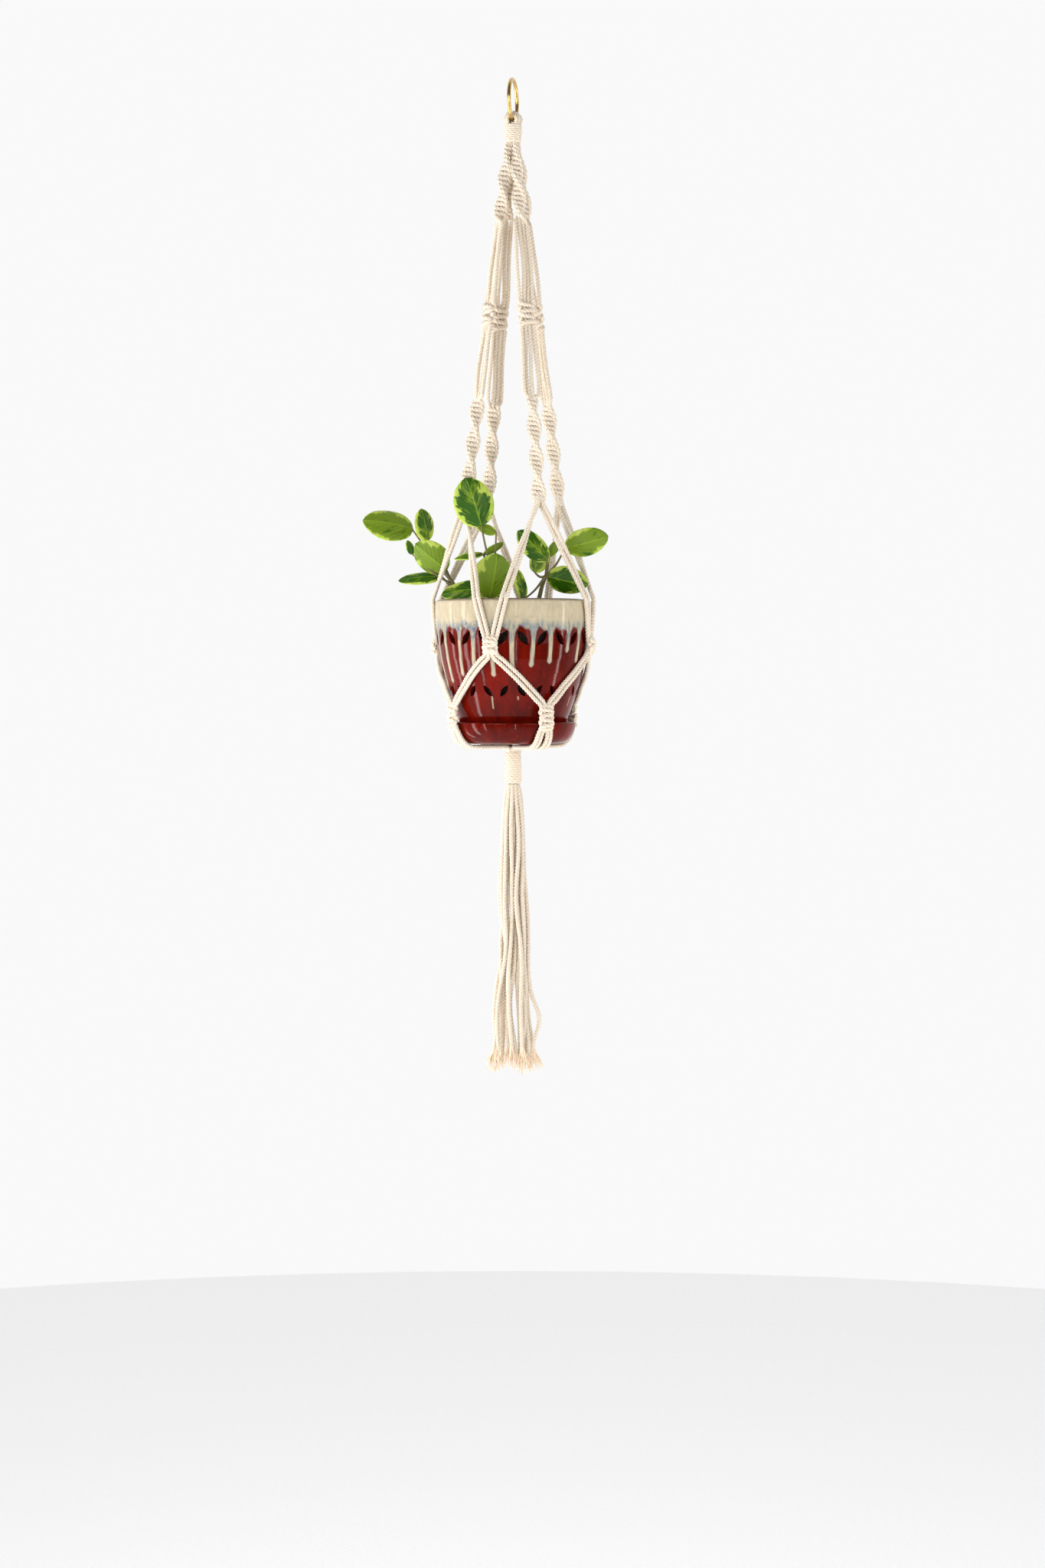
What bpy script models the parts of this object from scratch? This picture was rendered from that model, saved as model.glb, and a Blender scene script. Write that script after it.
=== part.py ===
"""Macrame plant hanger: a brass ring, a knotted cotton sling, a pierced glazed pot
on its saucer, a variegated plant and a long tassel. Metres, +Z up.

The origin is the hang point, the inner top of the ring. Azimuths turn about +Z and
start at the front, -Y, so a point lies at (r sin az, -r cos az).
"""

import math

import bmesh
import bpy
from mathutils import Matrix, Vector

MM = 0.001

# ---------------------------------------------------------------- driving sizes
CORD_D = 5.0 * MM  # thickness of the twisted cotton cord
GAP = 0.3 * MM  # what touching pieces keep between them
EASE = 1.0 * MM  # how far the cords stand off the turned pot and saucer

RING_OD = 46.0 * MM
RING_WIRE = 4.0 * MM
RING_TURN = 11.5  # degrees from edge-on
LOOP_EASE = 0.5 * MM  # loops to ring wire

WRAP_LEN = 21.0 * MM
WRAP_TOP_R = 9.6 * MM
WRAP_END_R = 8.4 * MM

HINGE_GAP = 3.0 * MM  # free cord between the top wrap and the arms
ARM_AZ = 29.0  # azimuth of the first arm, the others follow at 90 degrees
ARM_DROP = 372.0 * MM  # from the arms' tops to their lower ends
ARM_TOP_R = 4.9 * MM
ARM_END_R = 56.0 * MM
SINNET_W = 17.0 * MM
SINNET_T = 9.5 * MM
SINNET_TURN = 34.0 * MM  # height of one half turn of the spiral
UPPER_SINNET = (0.0, 0.200)  # shares of the arm's drop
MID_KNOT = (0.444, 0.508)
LOWER_SINNET = (0.722, 1.0)
KNOT_W = 20.0 * MM
KNOT_T = 11.0 * MM

RIM_DROP = 101.0 * MM  # from the arms' ends to the pot's rim
POT_R = 81.6 * MM
POT_H = 145.7 * MM
POT_WALL = 5.0 * MM
DRAIN_R = 7.0 * MM
HOLE_L = 18.5 * MM
HOLE_W = 7.5 * MM
HOLE_TILT = 36.0
HOLES = 24  # pierced leaves in each row round the pot
UPPER_HOLES_AT = 0.281  # shares of the pot's height
LOWER_HOLES_AT = 0.655
LOWER_HOLE_SHARE = 0.78  # the lower holes' size, as a share of the upper ones'

RIM_SWING = 35.0  # how far round from its arm each leg crosses the rim
JOIN_W = 17.0 * MM
JOIN_H = 15.0 * MM
JOIN_T = 9.0 * MM
JOIN_AT = 0.336  # share of the pot's height
BASE_W = 18.6 * MM
BASE_H = 22.5 * MM
BASE_T = 8.4 * MM

SAUCER_R = 66.4 * MM
SAUCER_H = 22.0 * MM
SAUCER_WALL = 4.0 * MM
SAUCER_FLOOR = 5.0 * MM
FOOT_INSET = 13.768 * MM  # saucer's rim to the foot of the pot that stands in it

ROOT_EASE = 5.0 * MM  # root ball to the pot's inner wall
SOIL_DROP = 13.0 * MM  # soil below the rim

TASSEL_WRAP_LEN = 35.0 * MM
TASSEL_WRAP_R = 8.4 * MM
TASSEL_WRAP_END_R = 9.5 * MM
TASSEL_LEN = 297.0 * MM
TASSEL_END_R = 25.0 * MM
NECK_DROP = 1.3 * MM  # hinge to the dome below it

# ---------------------------------------------------------------- derived heights
RING_R = (RING_OD - RING_WIRE) / 2
RING_Z = -(RING_OD / 2 - RING_WIRE)
WRAP_TOP = -(RING_OD - RING_WIRE) - 2 * LOOP_EASE
WRAP_END = WRAP_TOP - WRAP_LEN
SLING_Z = WRAP_END - HINGE_GAP / 2
ARM_TOP = WRAP_END - HINGE_GAP
ARM_END = ARM_TOP - ARM_DROP
RIM_Z = ARM_END - RIM_DROP
FOOT_Z = RIM_Z - POT_H
SAUCER_TOP = FOOT_Z - GAP - SAUCER_FLOOR + SAUCER_H
SAUCER_END = SAUCER_TOP - SAUCER_H
JOIN_Z = RIM_Z - JOIN_AT * POT_H
UNDER_Z = SAUCER_END - EASE - CORD_D / 2
GATHER_END = SAUCER_END - EASE - CORD_D - GAP
TASSEL_WRAP_Z = GATHER_END - 0.7 * MM
TASSEL_Z = TASSEL_WRAP_Z - NECK_DROP - TASSEL_WRAP_LEN - 0.8 * MM
ARMS = [ARM_AZ + 90.0 * k for k in range(4)]
BASE_TOP = SAUCER_TOP - 5.5 * MM + BASE_H
STRAIGHT = 3.0 * MM  # how far a cord runs straight out of a knot

FOOT_R = SAUCER_R - FOOT_INSET
PAIR_STEP = 0.92 * CORD_D  # from a knot's middle to the middle of a pair entering it
BASE_STEP = 0.98 * CORD_D

COTTON = (0.82, 0.74, 0.60)
OXBLOOD = (0.13, 0.012, 0.006)

# Shares of the pot's height, and how far its outer side stands out from the foot's
# radius towards the widest one.
POT_SHAPE = (
    (0.0, 0.9296),
    (0.02, 0.9944),
    (0.08, 1.0),
    (0.18, 0.9662),
    (0.32, 0.9211),
    (0.43, 0.8423),
    (0.53, 0.7183),
    (0.66, 0.5211),
    (0.82, 0.2479),
    (0.88, 0.1268),
    (0.985, 0.0479),
    (1.0, 0.0),
)


# ---------------------------------------------------------------- small helpers
def polar(radius, azimuth, z):
    """A point at an azimuth in degrees from the front."""
    turn = math.radians(azimuth)
    return Vector((radius * math.sin(turn), -radius * math.cos(turn), z))


def along(azimuth):
    """The level direction round the axis at an azimuth."""
    turn = math.radians(azimuth)
    return Vector((math.cos(turn), math.sin(turn), 0.0))


def between(pairs, share):
    """The value at a share, read between rising (share, value) pairs."""
    if share <= pairs[0][0]:
        return pairs[0][1]
    for (a, low), (b, high) in zip(pairs, pairs[1:]):
        if share <= b:
            return low + (high - low) * (share - a) / (b - a)
    return pairs[-1][1]


def pot_radius(z):
    return FOOT_R + (POT_R - FOOT_R) * between(POT_SHAPE, (RIM_Z - z) / POT_H)


def wall_radius(z):
    """Where the net's cords lie: on the pot, then straight down to the saucer's rim."""
    leave = RIM_Z - 0.62 * POT_H
    if z >= leave:
        return pot_radius(z)
    share = min(1.0, (leave - z) / (leave - SAUCER_TOP))
    straight = pot_radius(leave) + (SAUCER_R - pot_radius(leave)) * share
    return max(pot_radius(z), straight)


def base_radius():
    """Where the base knots stand, clear of the saucer's rim and of the pot."""
    return max(SAUCER_R, pot_radius(BASE_TOP)) + EASE + BASE_T / 2


def arm_point(azimuth, z):
    share = (ARM_TOP - z) / ARM_DROP
    return polar(ARM_TOP_R + (ARM_END_R - ARM_TOP_R) * share, azimuth, z)


def collection(name):
    made = bpy.data.collections.new(name)
    bpy.context.scene.collection.children.link(made)
    return made


def clear_scene():
    for item in list(bpy.data.objects):
        bpy.data.objects.remove(item)
    for group in list(bpy.data.collections):
        bpy.data.collections.remove(group)


def give_material(item, colour, roughness, metallic=0.0, coat=0.0):
    material = bpy.data.materials.new(item.name)
    material.use_nodes = True
    shader = material.node_tree.nodes["Principled BSDF"]
    shader.inputs["Base Color"].default_value = (*colour, 1.0)
    shader.inputs["Roughness"].default_value = roughness
    shader.inputs["Metallic"].default_value = metallic
    shader.inputs["Coat Weight"].default_value = coat
    item.data.materials.append(material)


def add_object(name, data, group):
    item = bpy.data.objects.new(name, data)
    group.objects.link(item)
    return item


def smooth(item, degrees=40.0):
    item.data.shade_smooth()
    item.data.set_sharp_from_angle(angle=math.radians(degrees))


def as_mesh(item, group):
    """A curve object made a mesh with its caps welded on."""
    bpy.context.view_layer.update()
    graph = bpy.context.evaluated_depsgraph_get()
    mesh = bpy.data.meshes.new_from_object(item.evaluated_get(graph))
    body = bmesh.new()
    body.from_mesh(mesh)
    bmesh.ops.remove_doubles(body, verts=body.verts, dist=0.00001)
    bmesh.ops.recalc_face_normals(body, faces=body.faces)
    body.to_mesh(mesh)
    body.free()
    name, where = item.name, item.matrix_world.copy()
    bpy.data.objects.remove(item)
    made = add_object(name, mesh, group)
    made.matrix_world = where
    return made


# ---------------------------------------------------------------- cord shapes
def outline(name, points, cutters):
    """A closed flat outline that other curves sweep."""
    curve = bpy.data.curves.new(name, "CURVE")
    curve.dimensions = "2D"
    spline = curve.splines.new("POLY")
    spline.points.add(len(points) - 1)
    for point, (x, y) in zip(spline.points, points):
        point.co = (x, y, 0.0, 1.0)
    spline.use_cyclic_u = True
    item = add_object(name, curve, cutters)
    item.hide_render = True
    item.display_type = "WIRE"
    return item


def row_outline(name, count, cutters):
    """Cords lying side by side as one outline with a dip between neighbours."""
    radius = CORD_D / 2
    pitch = CORD_D * 0.97
    upper = []
    for k in range(count):
        middle = (k - (count - 1) / 2) * pitch
        first = 180 if k == 0 else 150
        last = 0 if k == count - 1 else 30
        steps = 2
        for step in range(steps + 1):
            turn = math.radians(first + (last - first) * step / steps)
            upper.append((middle + radius * math.cos(turn), radius * math.sin(turn)))
    lower = [(x, -y) for x, y in reversed(upper[1:-1])]
    points = upper + lower
    return outline(name, [(x, y) for x, y in reversed(points)], cutters)


def oval_outline(name, width, depth, cutters, count=8):
    turns = [2 * math.pi * k / count for k in range(count)]
    points = [(width / 2 * math.cos(t), depth / 2 * math.sin(t)) for t in turns]
    return outline(name, points, cutters)


def sweep(name, path, section, across, scales, group):
    """Sweeps an outline down a path. across gives its wide direction at each point."""
    curve = bpy.data.curves.new(name, "CURVE")
    curve.dimensions = "3D"
    curve.twist_mode = "Z_UP"
    curve.bevel_mode = "OBJECT"
    curve.bevel_object = section
    curve.use_fill_caps = True
    spline = curve.splines.new("POLY")
    spline.points.add(len(path) - 1)
    before = 0.0
    for k, point in enumerate(spline.points):
        ahead = path[min(k + 1, len(path) - 1)] - path[max(k - 1, 0)]
        ahead.normalize()
        level = ahead.cross(Vector((0.0, 0.0, 1.0))).normalized()
        upright = level.cross(ahead)
        tilt = math.atan2(-across[k].dot(upright), across[k].dot(level))
        while tilt - before > math.pi / 2:
            tilt -= math.pi
        while tilt - before < -math.pi / 2:
            tilt += math.pi
        before = tilt
        point.co = (*path[k], 1.0)
        point.tilt = tilt
        point.radius = scales[k]
    return as_mesh(add_object(name, curve, group), group)


def arm_path(azimuth, first, last, count):
    """Points down an arm between two shares of its drop, GAP short at both ends."""
    top = ARM_TOP - first * ARM_DROP - GAP / 2
    end = ARM_TOP - last * ARM_DROP + GAP / 2
    heights = [top + (end - top) * k / (count - 1) for k in range(count)]
    return [arm_point(azimuth, z) for z in heights]


def sinnet(name, azimuth, shares, lobe_z, section, group):
    """A spiral of half knots: an oval section that turns as it goes down."""
    path = arm_path(azimuth, shares[0], shares[1], 11)
    across = []
    scales = []
    for point in path:
        turn = math.pi * (lobe_z - point.z) / SINNET_TURN
        across.append(Vector((math.cos(turn), math.sin(turn), 0.0)))
        radius = math.hypot(point.x, point.y)
        scales.append(min(1.0, (0.69 * radius - GAP / 2) / (SINNET_W / 2)))
    return sweep(name, path, section, across, scales, group)


def straight_run(name, azimuth, shares, section, group):
    path = arm_path(azimuth, shares[0], shares[1], 2)
    across = [along(azimuth)] * len(path)
    return sweep(name, path, section, across, [1.0] * len(path), group)


def leg_radius(z):
    """Where a cord's middle runs, clear of the wall however steeply it slopes."""
    slope = (wall_radius(z + CORD_D / 2) - wall_radius(z - CORD_D / 2)) / CORD_D
    return wall_radius(z) + EASE + CORD_D / 2 * math.hypot(1.0, slope)


def upper_leg(name, azimuth, side, section, group):
    """A pair of cords from an arm's end over the rim to a joining knot."""
    aside = along(azimuth) * side * (CORD_D / 2 + GAP)
    entry = arm_point(azimuth, ARM_END - GAP) + aside
    start = arm_point(azimuth, ARM_END - STRAIGHT) + aside
    rim_z = RIM_Z + 0.2 * MM
    rim = polar(leg_radius(RIM_Z - 0.08 * POT_H), azimuth + side * RIM_SWING, rim_z)
    path = [entry] + [start.lerp(rim, share) for share in (0, 0.12, 0.3, 0.6, 1.0)]
    knot_az = azimuth + side * 45.0
    offset = math.degrees(PAIR_STEP / leg_radius(JOIN_Z))
    end_az = knot_az - side * offset
    end_z = JOIN_Z + JOIN_H / 2 + STRAIGHT
    for share in (0.12, 0.3, 0.55, 0.8, 1.0):
        z = rim_z + (end_z - rim_z) * share
        swing = azimuth + side * RIM_SWING
        swing += (end_az - swing) * share
        path.append(polar(leg_radius(z), swing, z))
    last_z = JOIN_Z + JOIN_H / 2 + GAP
    path.append(polar(leg_radius(last_z), end_az, last_z))
    across = []
    for k, point in enumerate(path):
        ahead = path[min(k + 1, len(path) - 1)] - path[max(k - 1, 0)]
        out = Vector((point.x, point.y, 0.0)).normalized()
        flat = out.cross(ahead).normalized()
        share = min(1.0, k / 4.0)
        across.append((out * (1 - share) + flat * side * share).normalized())
    scales = [0.9] + [1.0] * (len(path) - 3) + [0.85, 0.8]
    return sweep(name, path, section, across, scales, group)


def lower_leg(name, azimuth, side, section, group):
    """A pair of cords from a joining knot down the pot to the next base knot."""
    offset = math.degrees(PAIR_STEP / leg_radius(JOIN_Z))
    start_az = azimuth + side * offset
    end_az = azimuth + side * (45.0 - math.degrees(BASE_STEP / base_radius()))
    start_z = JOIN_Z - JOIN_H / 2 - STRAIGHT
    end_z = BASE_TOP + STRAIGHT
    under = JOIN_Z - JOIN_H / 2 - GAP
    path = [polar(leg_radius(under), start_az, under)]
    across = []
    for share in (0.0, 0.1, 0.2, 0.3, 0.4, 0.5, 0.6, 0.7, 0.8, 0.9, 1.0):
        z = start_z + (end_z - start_z) * share
        path.append(polar(leg_radius(z), start_az + (end_az - start_az) * share, z))
    path.append(polar(leg_radius(BASE_TOP), end_az, BASE_TOP + GAP))
    for k, point in enumerate(path):
        ahead = path[min(k + 1, len(path) - 1)] - path[max(k - 1, 0)]
        out = Vector((point.x, point.y, 0.0)).normalized()
        across.append(out.cross(ahead).normalized())
    scales = [0.8, 0.85] + [1.0] * (len(path) - 4) + [0.88, 0.84]
    return sweep(name, path, section, across, scales, group)


def under_run(name, azimuth, section, group):
    """Four cords from a base knot round the saucer's side to the middle below it."""
    stand = EASE + CORD_D / 2
    start_z = BASE_TOP - BASE_H - GAP
    start = base_radius() + (CORD_D - BASE_T) / 2
    path = [polar(start + 0.2 * MM, azimuth, start_z)]
    path.append(polar(start, azimuth, start_z - STRAIGHT / 3))
    for share in (0.3, 0.55, 0.75, 0.9, 1.0):
        radius, z = saucer_side(share)
        slope = math.pi / 2 * min(1.0, max(0.0, (share - 0.2) / 0.8))
        radius += stand * math.cos(slope)
        path.append(polar(radius, azimuth, z - stand * math.sin(slope)))
    last = WRAP_END_R + 1.4 * MM
    rest = math.hypot(path[-1].x, path[-1].y)
    for share in (0.6, 1.0):
        path.append(polar(rest + (last - rest) * share, azimuth, UNDER_Z))
    across = [along(azimuth)] * len(path)
    scales = [0.9, 0.9] + [1.0] * (len(path) - 4) + [0.9, 0.6]
    return sweep(name, path, section, across, scales, group)


# ---------------------------------------------------------------- solids
def torus(name, major, minor, group, around=36, across=8):
    bpy.ops.mesh.primitive_torus_add(
        major_radius=major,
        minor_radius=minor,
        major_segments=around,
        minor_segments=across,
    )
    item = bpy.context.object
    item.name = name
    for holder in list(item.users_collection):
        holder.objects.unlink(item)
    group.objects.link(item)
    item.rotation_euler = (math.pi / 2, 0.0, math.radians(90.0 - RING_TURN))
    item.location = (0.0, 0.0, RING_Z)
    return item


def turned(name, profile, steps, group, closed=False):
    """A turned piece: its profile runs down the outer side, then back in."""
    mesh = bpy.data.meshes.new(name)
    body = bmesh.new()
    points = [body.verts.new((r, 0.0, z)) for r, z in profile]
    for a, b in zip(points, points[1:]):
        body.edges.new((a, b))
    if closed:
        body.edges.new((points[-1], points[0]))
    body.to_mesh(mesh)
    body.free()
    item = add_object(name, mesh, group)
    screw = item.modifiers.new("Turn", "SCREW")
    screw.steps = steps
    screw.render_steps = steps
    screw.use_merge_vertices = True
    screw.merge_threshold = 0.00001
    screw.use_smooth_shade = True
    return item


def block(name, size, bevel, group):
    """A rounded block, which is what a tight flat knot fills."""
    mesh = bpy.data.meshes.new(name)
    body = bmesh.new()
    bmesh.ops.create_cube(body, size=1.0)
    bmesh.ops.scale(body, vec=size, verts=body.verts)
    body.to_mesh(mesh)
    body.free()
    item = add_object(name, mesh, group)
    edge = item.modifiers.new("Rounded", "BEVEL")
    edge.width = bevel
    edge.segments = 2
    edge.limit_method = "NONE"
    return item


def cut(item, cutter):
    cutter.hide_render = True
    cutter.display_type = "WIRE"
    boolean = item.modifiers.new("Cut", "BOOLEAN")
    boolean.operation = "DIFFERENCE"
    boolean.object = cutter


def saucer_side(share):
    """A point down the saucer's outer side, share 0 at its rim, 1 where it is flat."""
    turn = math.pi / 2 * share
    flat = SAUCER_R * 0.72
    radius = flat + (SAUCER_R - flat) * math.cos(turn) ** 0.8
    return radius, SAUCER_TOP - SAUCER_H * math.sin(turn) ** 1.15


def make_loops(group, cutters):
    """The folded cords riding over the ring, tunnelled for its wire."""
    top = RING_Z - RING_R + RING_WIRE / 2 + CORD_D
    low = WRAP_TOP + GAP
    tall = top - low
    shape = ((0.0, 0.0), (0.02, 0.30), (0.12, 0.56), (0.3, 0.72), (0.6, 0.9), (1.0, 1.0))
    profile = [(WRAP_TOP_R * wide, top - tall * share) for share, wide in shape]
    loops = turned("top_loops", profile + [(0.0, low)], 24, group)
    cut(loops, torus("wire_tunnel", RING_R, RING_WIRE / 2 + LOOP_EASE, cutters, 96, 10))
    return loops


def make_pot(group, cutters):
    outer = [(pot_radius(RIM_Z - s * POT_H), RIM_Z - s * POT_H) for s, _ in POT_SHAPE]
    floor = FOOT_Z + POT_WALL
    inner = []
    for share in (0.86, 0.66, 0.47, 0.32, 0.02):
        z = RIM_Z - share * POT_H
        inner.append((pot_radius(z) - POT_WALL, z))
    base = [(DRAIN_R, FOOT_Z), (DRAIN_R, floor)]
    base.append((pot_radius(floor) - POT_WALL - 2 * MM, floor))
    pot = turned("pot", outer + base + inner, 40, group, closed=True)
    rows = []
    for k in range(HOLES):
        lean = HOLE_TILT if k % 2 else -HOLE_TILT
        azimuth = 360.0 * (k + 0.5) / HOLES
        rows.append((azimuth, UPPER_HOLES_AT, lean, 1.0))
        rows.append((azimuth, LOWER_HOLES_AT, lean, LOWER_HOLE_SHARE))
    mesh = bpy.data.meshes.new("leaf_cutter")
    body = bmesh.new()
    for azimuth, share, tilt, size in rows:
        add_leaf_cutter(body, azimuth, RIM_Z - share * POT_H, tilt, size)
    body.to_mesh(mesh)
    body.free()
    cut(pot, add_object("leaf_cutter", mesh, cutters))
    return pot


def add_leaf_cutter(body, azimuth, z, tilt, size):
    """A pointed oval prism that runs out through the pot's wall."""
    steps = 4
    edge = []
    for k in range(steps + 1):
        u = -1 + 2 * k / steps
        edge.append((u * size * HOLE_L / 2, (1 - u * u) * size * HOLE_W / 2))
    edge += [(x, -y) for x, y in reversed(edge[1:-1])]
    lean = math.radians(tilt)
    side = along(azimuth)
    middle = polar(pot_radius(z), azimuth, z)
    out = polar(1.0, azimuth, 0.0)
    rings = []
    for reach in (-3 * POT_WALL, 2 * POT_WALL):
        ring = []
        for x, y in edge:
            right = x * math.sin(lean) + y * math.cos(lean)
            rise = x * math.cos(lean) - y * math.sin(lean)
            spot = middle + side * right + Vector((0.0, 0.0, rise)) + out * reach
            ring.append(body.verts.new(spot))
        rings.append(ring)
    count = len(edge)
    faces = [body.faces.new(rings[0]), body.faces.new(reversed(rings[1]))]
    for k in range(count):
        after = (k + 1) % count
        faces.append(
            body.faces.new((rings[0][after], rings[0][k], rings[1][k], rings[1][after]))
        )
    bmesh.ops.recalc_face_normals(body, faces=faces)


def make_saucer(group):
    outer = [saucer_side(k / 5) for k in range(6)]
    floor = SAUCER_END + SAUCER_FLOOR
    inner = [(0.0, floor), (SAUCER_R - 2.5 * SAUCER_WALL, floor)]
    for radius, z in reversed(outer[:4]):
        if z > floor + MM:
            inner.append((radius - SAUCER_WALL, z))
    lip = [(SAUCER_R - SAUCER_WALL / 2, SAUCER_TOP + 0.7 * MM)]
    return turned("saucer", inner + lip + outer + [(0.0, SAUCER_END)], 40, group)


def make_root_ball(group):
    """The soil and roots, standing on the pot's floor inside the pierced wall."""
    top = RIM_Z - SOIL_DROP
    end = FOOT_Z + POT_WALL + GAP
    profile = [(0.0, top), (pot_radius(top) * 0.55, top - 0.4 * MM)]
    for share in (0.0, 0.15, 0.35, 0.6, 0.85, 1.0):
        z = top - 2 * MM + (end - top + 2 * MM) * share
        profile.append((pot_radius(z) - POT_WALL - ROOT_EASE, z))
    profile.append((0.0, end))
    return turned("root_ball", profile, 24, group)


def domed(name, top, radii, end, group):
    """A bundle with a rounded top that can swing on the hinge just above it."""
    first = radii[0][1]
    profile = [(0.0, top)]
    for turn in (25, 50, 75):
        t = math.radians(turn)
        profile.append((first * math.sin(t), top - 3.6 * MM * (1 - math.cos(t))))
    for share, radius in radii:
        profile.append((radius, top - 4.2 * MM + (end - top + 4.2 * MM) * share))
    profile.append((0.0, end))
    return turned(name, profile, 20, group)


# ---------------------------------------------------------------- plant
# Each shoot has a root spot (x, y), a hub (x, y, z) where its stalks part, and its
# leaves as x, y, z of the middle, length, width, heading from +X, pitch and roll.
# Millimetres and degrees, heights from the pot's rim.
SHOOTS = {
    "left": (
        (-34, 8),
        (-60, 18, 14),
        (
            (-133, 26, 81, 53, 40, 165, 8, 12),
            (-93, 12, 79, 35, 22, 100, 10, 25),
            (-109, 24, 56, 16, 9, 110, 0, 20),
            (-87, 16, 45, 44, 34, 140, 0, -20),
            (-98, 22, 24, 48, 16, 185, 0, 35),
        ),
    ),
    "middle": (
        (-12, -20),
        (-20, -34, 22),
        (
            (-40, -55, 99, 53, 42, 108, 6, 10),
            (-27, -45, 72, 22, 12, 160, 0, 25),
            (-46, -28, 45, 31, 9, 190, 0, 30),
            (-20, -26, 52, 24, 9, 30, 0, 30),
            (-20, -44, 23, 46, 36, 80, 10, 20),
            (-47, -32, 10, 44, 18, 190, 0, 30),
        ),
    ),
    "right": (
        (26, -12),
        (34, -20, 24),
        (
            (21, -30, 55, 40, 32, 150, 0, 15),
            (27, -18, 42, 30, 22, 70, 0, -25),
            (8, -34, 16, 34, 14, 105, 0, 25),
            (77, -22, 59, 47, 30, 15, 5, 15),
            (57, -21, 19, 44, 30, -12, 0, 20),
            (43, -12, 53, 19, 11, 60, 0, 20),
        ),
    ),
}
LEAF_T = 2.4 * MM
STALK_R = 1.5 * MM


def leaf_frame(leaf):
    """A leaf's middle and its length, width and face directions."""
    x, y, z, _, _, heading, pitch, roll = leaf
    turn, lift, lean = (math.radians(a) for a in (heading, pitch, roll))
    spin = Matrix.Rotation(-turn, 3, "Y") @ Matrix.Rotation(-lift, 3, "Z")
    spin = spin @ Matrix.Rotation(lean, 3, "X")
    middle = Vector((x * MM, y * MM, RIM_Z + z * MM))
    return middle, spin @ Vector((1, 0, 0)), spin @ Vector((0, 0, 1)), spin @ Vector((0, 1, 0))


def make_leaf(name, leaf, cutters):
    """A pointed, slightly cupped leaf from a flattened sphere."""
    middle, ahead, side, face = leaf_frame(leaf)
    length, width = leaf[3] * MM, leaf[4] * MM
    mesh = bpy.data.meshes.new(name)
    body = bmesh.new()
    bmesh.ops.create_uvsphere(body, u_segments=6, v_segments=5, radius=1.0)
    for vert in body.verts:
        up, right, out = vert.co.z, vert.co.x, vert.co.y
        taper = 1.0 - 0.22 * up
        cup = 0.10 * width * (right * taper) ** 2 + 0.06 * length * up * up
        spot = middle + ahead * (up * length / 2) + side * (right * taper * width / 2)
        vert.co = spot + face * (out * LEAF_T / 2 + cup)
    bmesh.ops.recalc_face_normals(body, faces=body.faces)
    body.to_mesh(mesh)
    body.free()
    return add_object(name, mesh, cutters)


def stalk(name, path, radius, group):
    curve = bpy.data.curves.new(name, "CURVE")
    curve.dimensions = "3D"
    curve.bevel_depth = radius
    curve.bevel_resolution = 0
    curve.use_fill_caps = True
    spline = curve.splines.new("POLY")
    spline.points.add(len(path) - 1)
    for point, spot in zip(spline.points, path):
        point.co = (*spot, 1.0)
    return as_mesh(add_object(name, curve, group), group)


def make_shoot(key, group):
    """A main stalk with its leaf stalks and leaves joined to it."""
    root, hub, leaves = SHOOTS[key]
    soil = RIM_Z - SOIL_DROP + GAP
    foot = Vector((root[0] * MM, root[1] * MM, soil))
    fork = Vector((hub[0] * MM, hub[1] * MM, RIM_Z + hub[2] * MM))
    bend = foot + Vector((0.0, 0.0, 7 * MM))
    shoot = stalk("plant_" + key, [foot, bend, fork], 2 * STALK_R, group)
    pieces = collection("leaves_" + key)
    for k, leaf in enumerate(leaves):
        middle, ahead, _, face = leaf_frame(leaf)
        length = leaf[3] * MM
        root_at = middle - ahead * (length * 0.40) + face * (0.05 * length)
        tip_name = "stalk_" + key + str(k)
        inside = fork.lerp(root_at, -0.02)
        bow = fork.lerp(root_at, 0.5) + Vector((0.0, 0.0, -3 * MM))
        rod = stalk(tip_name, [inside, bow, root_at], STALK_R, pieces)
        leaf_body = make_leaf("leaf_" + key + str(k), leaf, pieces)
        for item in (rod, leaf_body):
            item.hide_render = True
            item.display_type = "WIRE"
    union = shoot.modifiers.new("Join", "BOOLEAN")
    union.operation = "UNION"
    union.operand_type = "COLLECTION"
    union.collection = pieces
    return shoot


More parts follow.
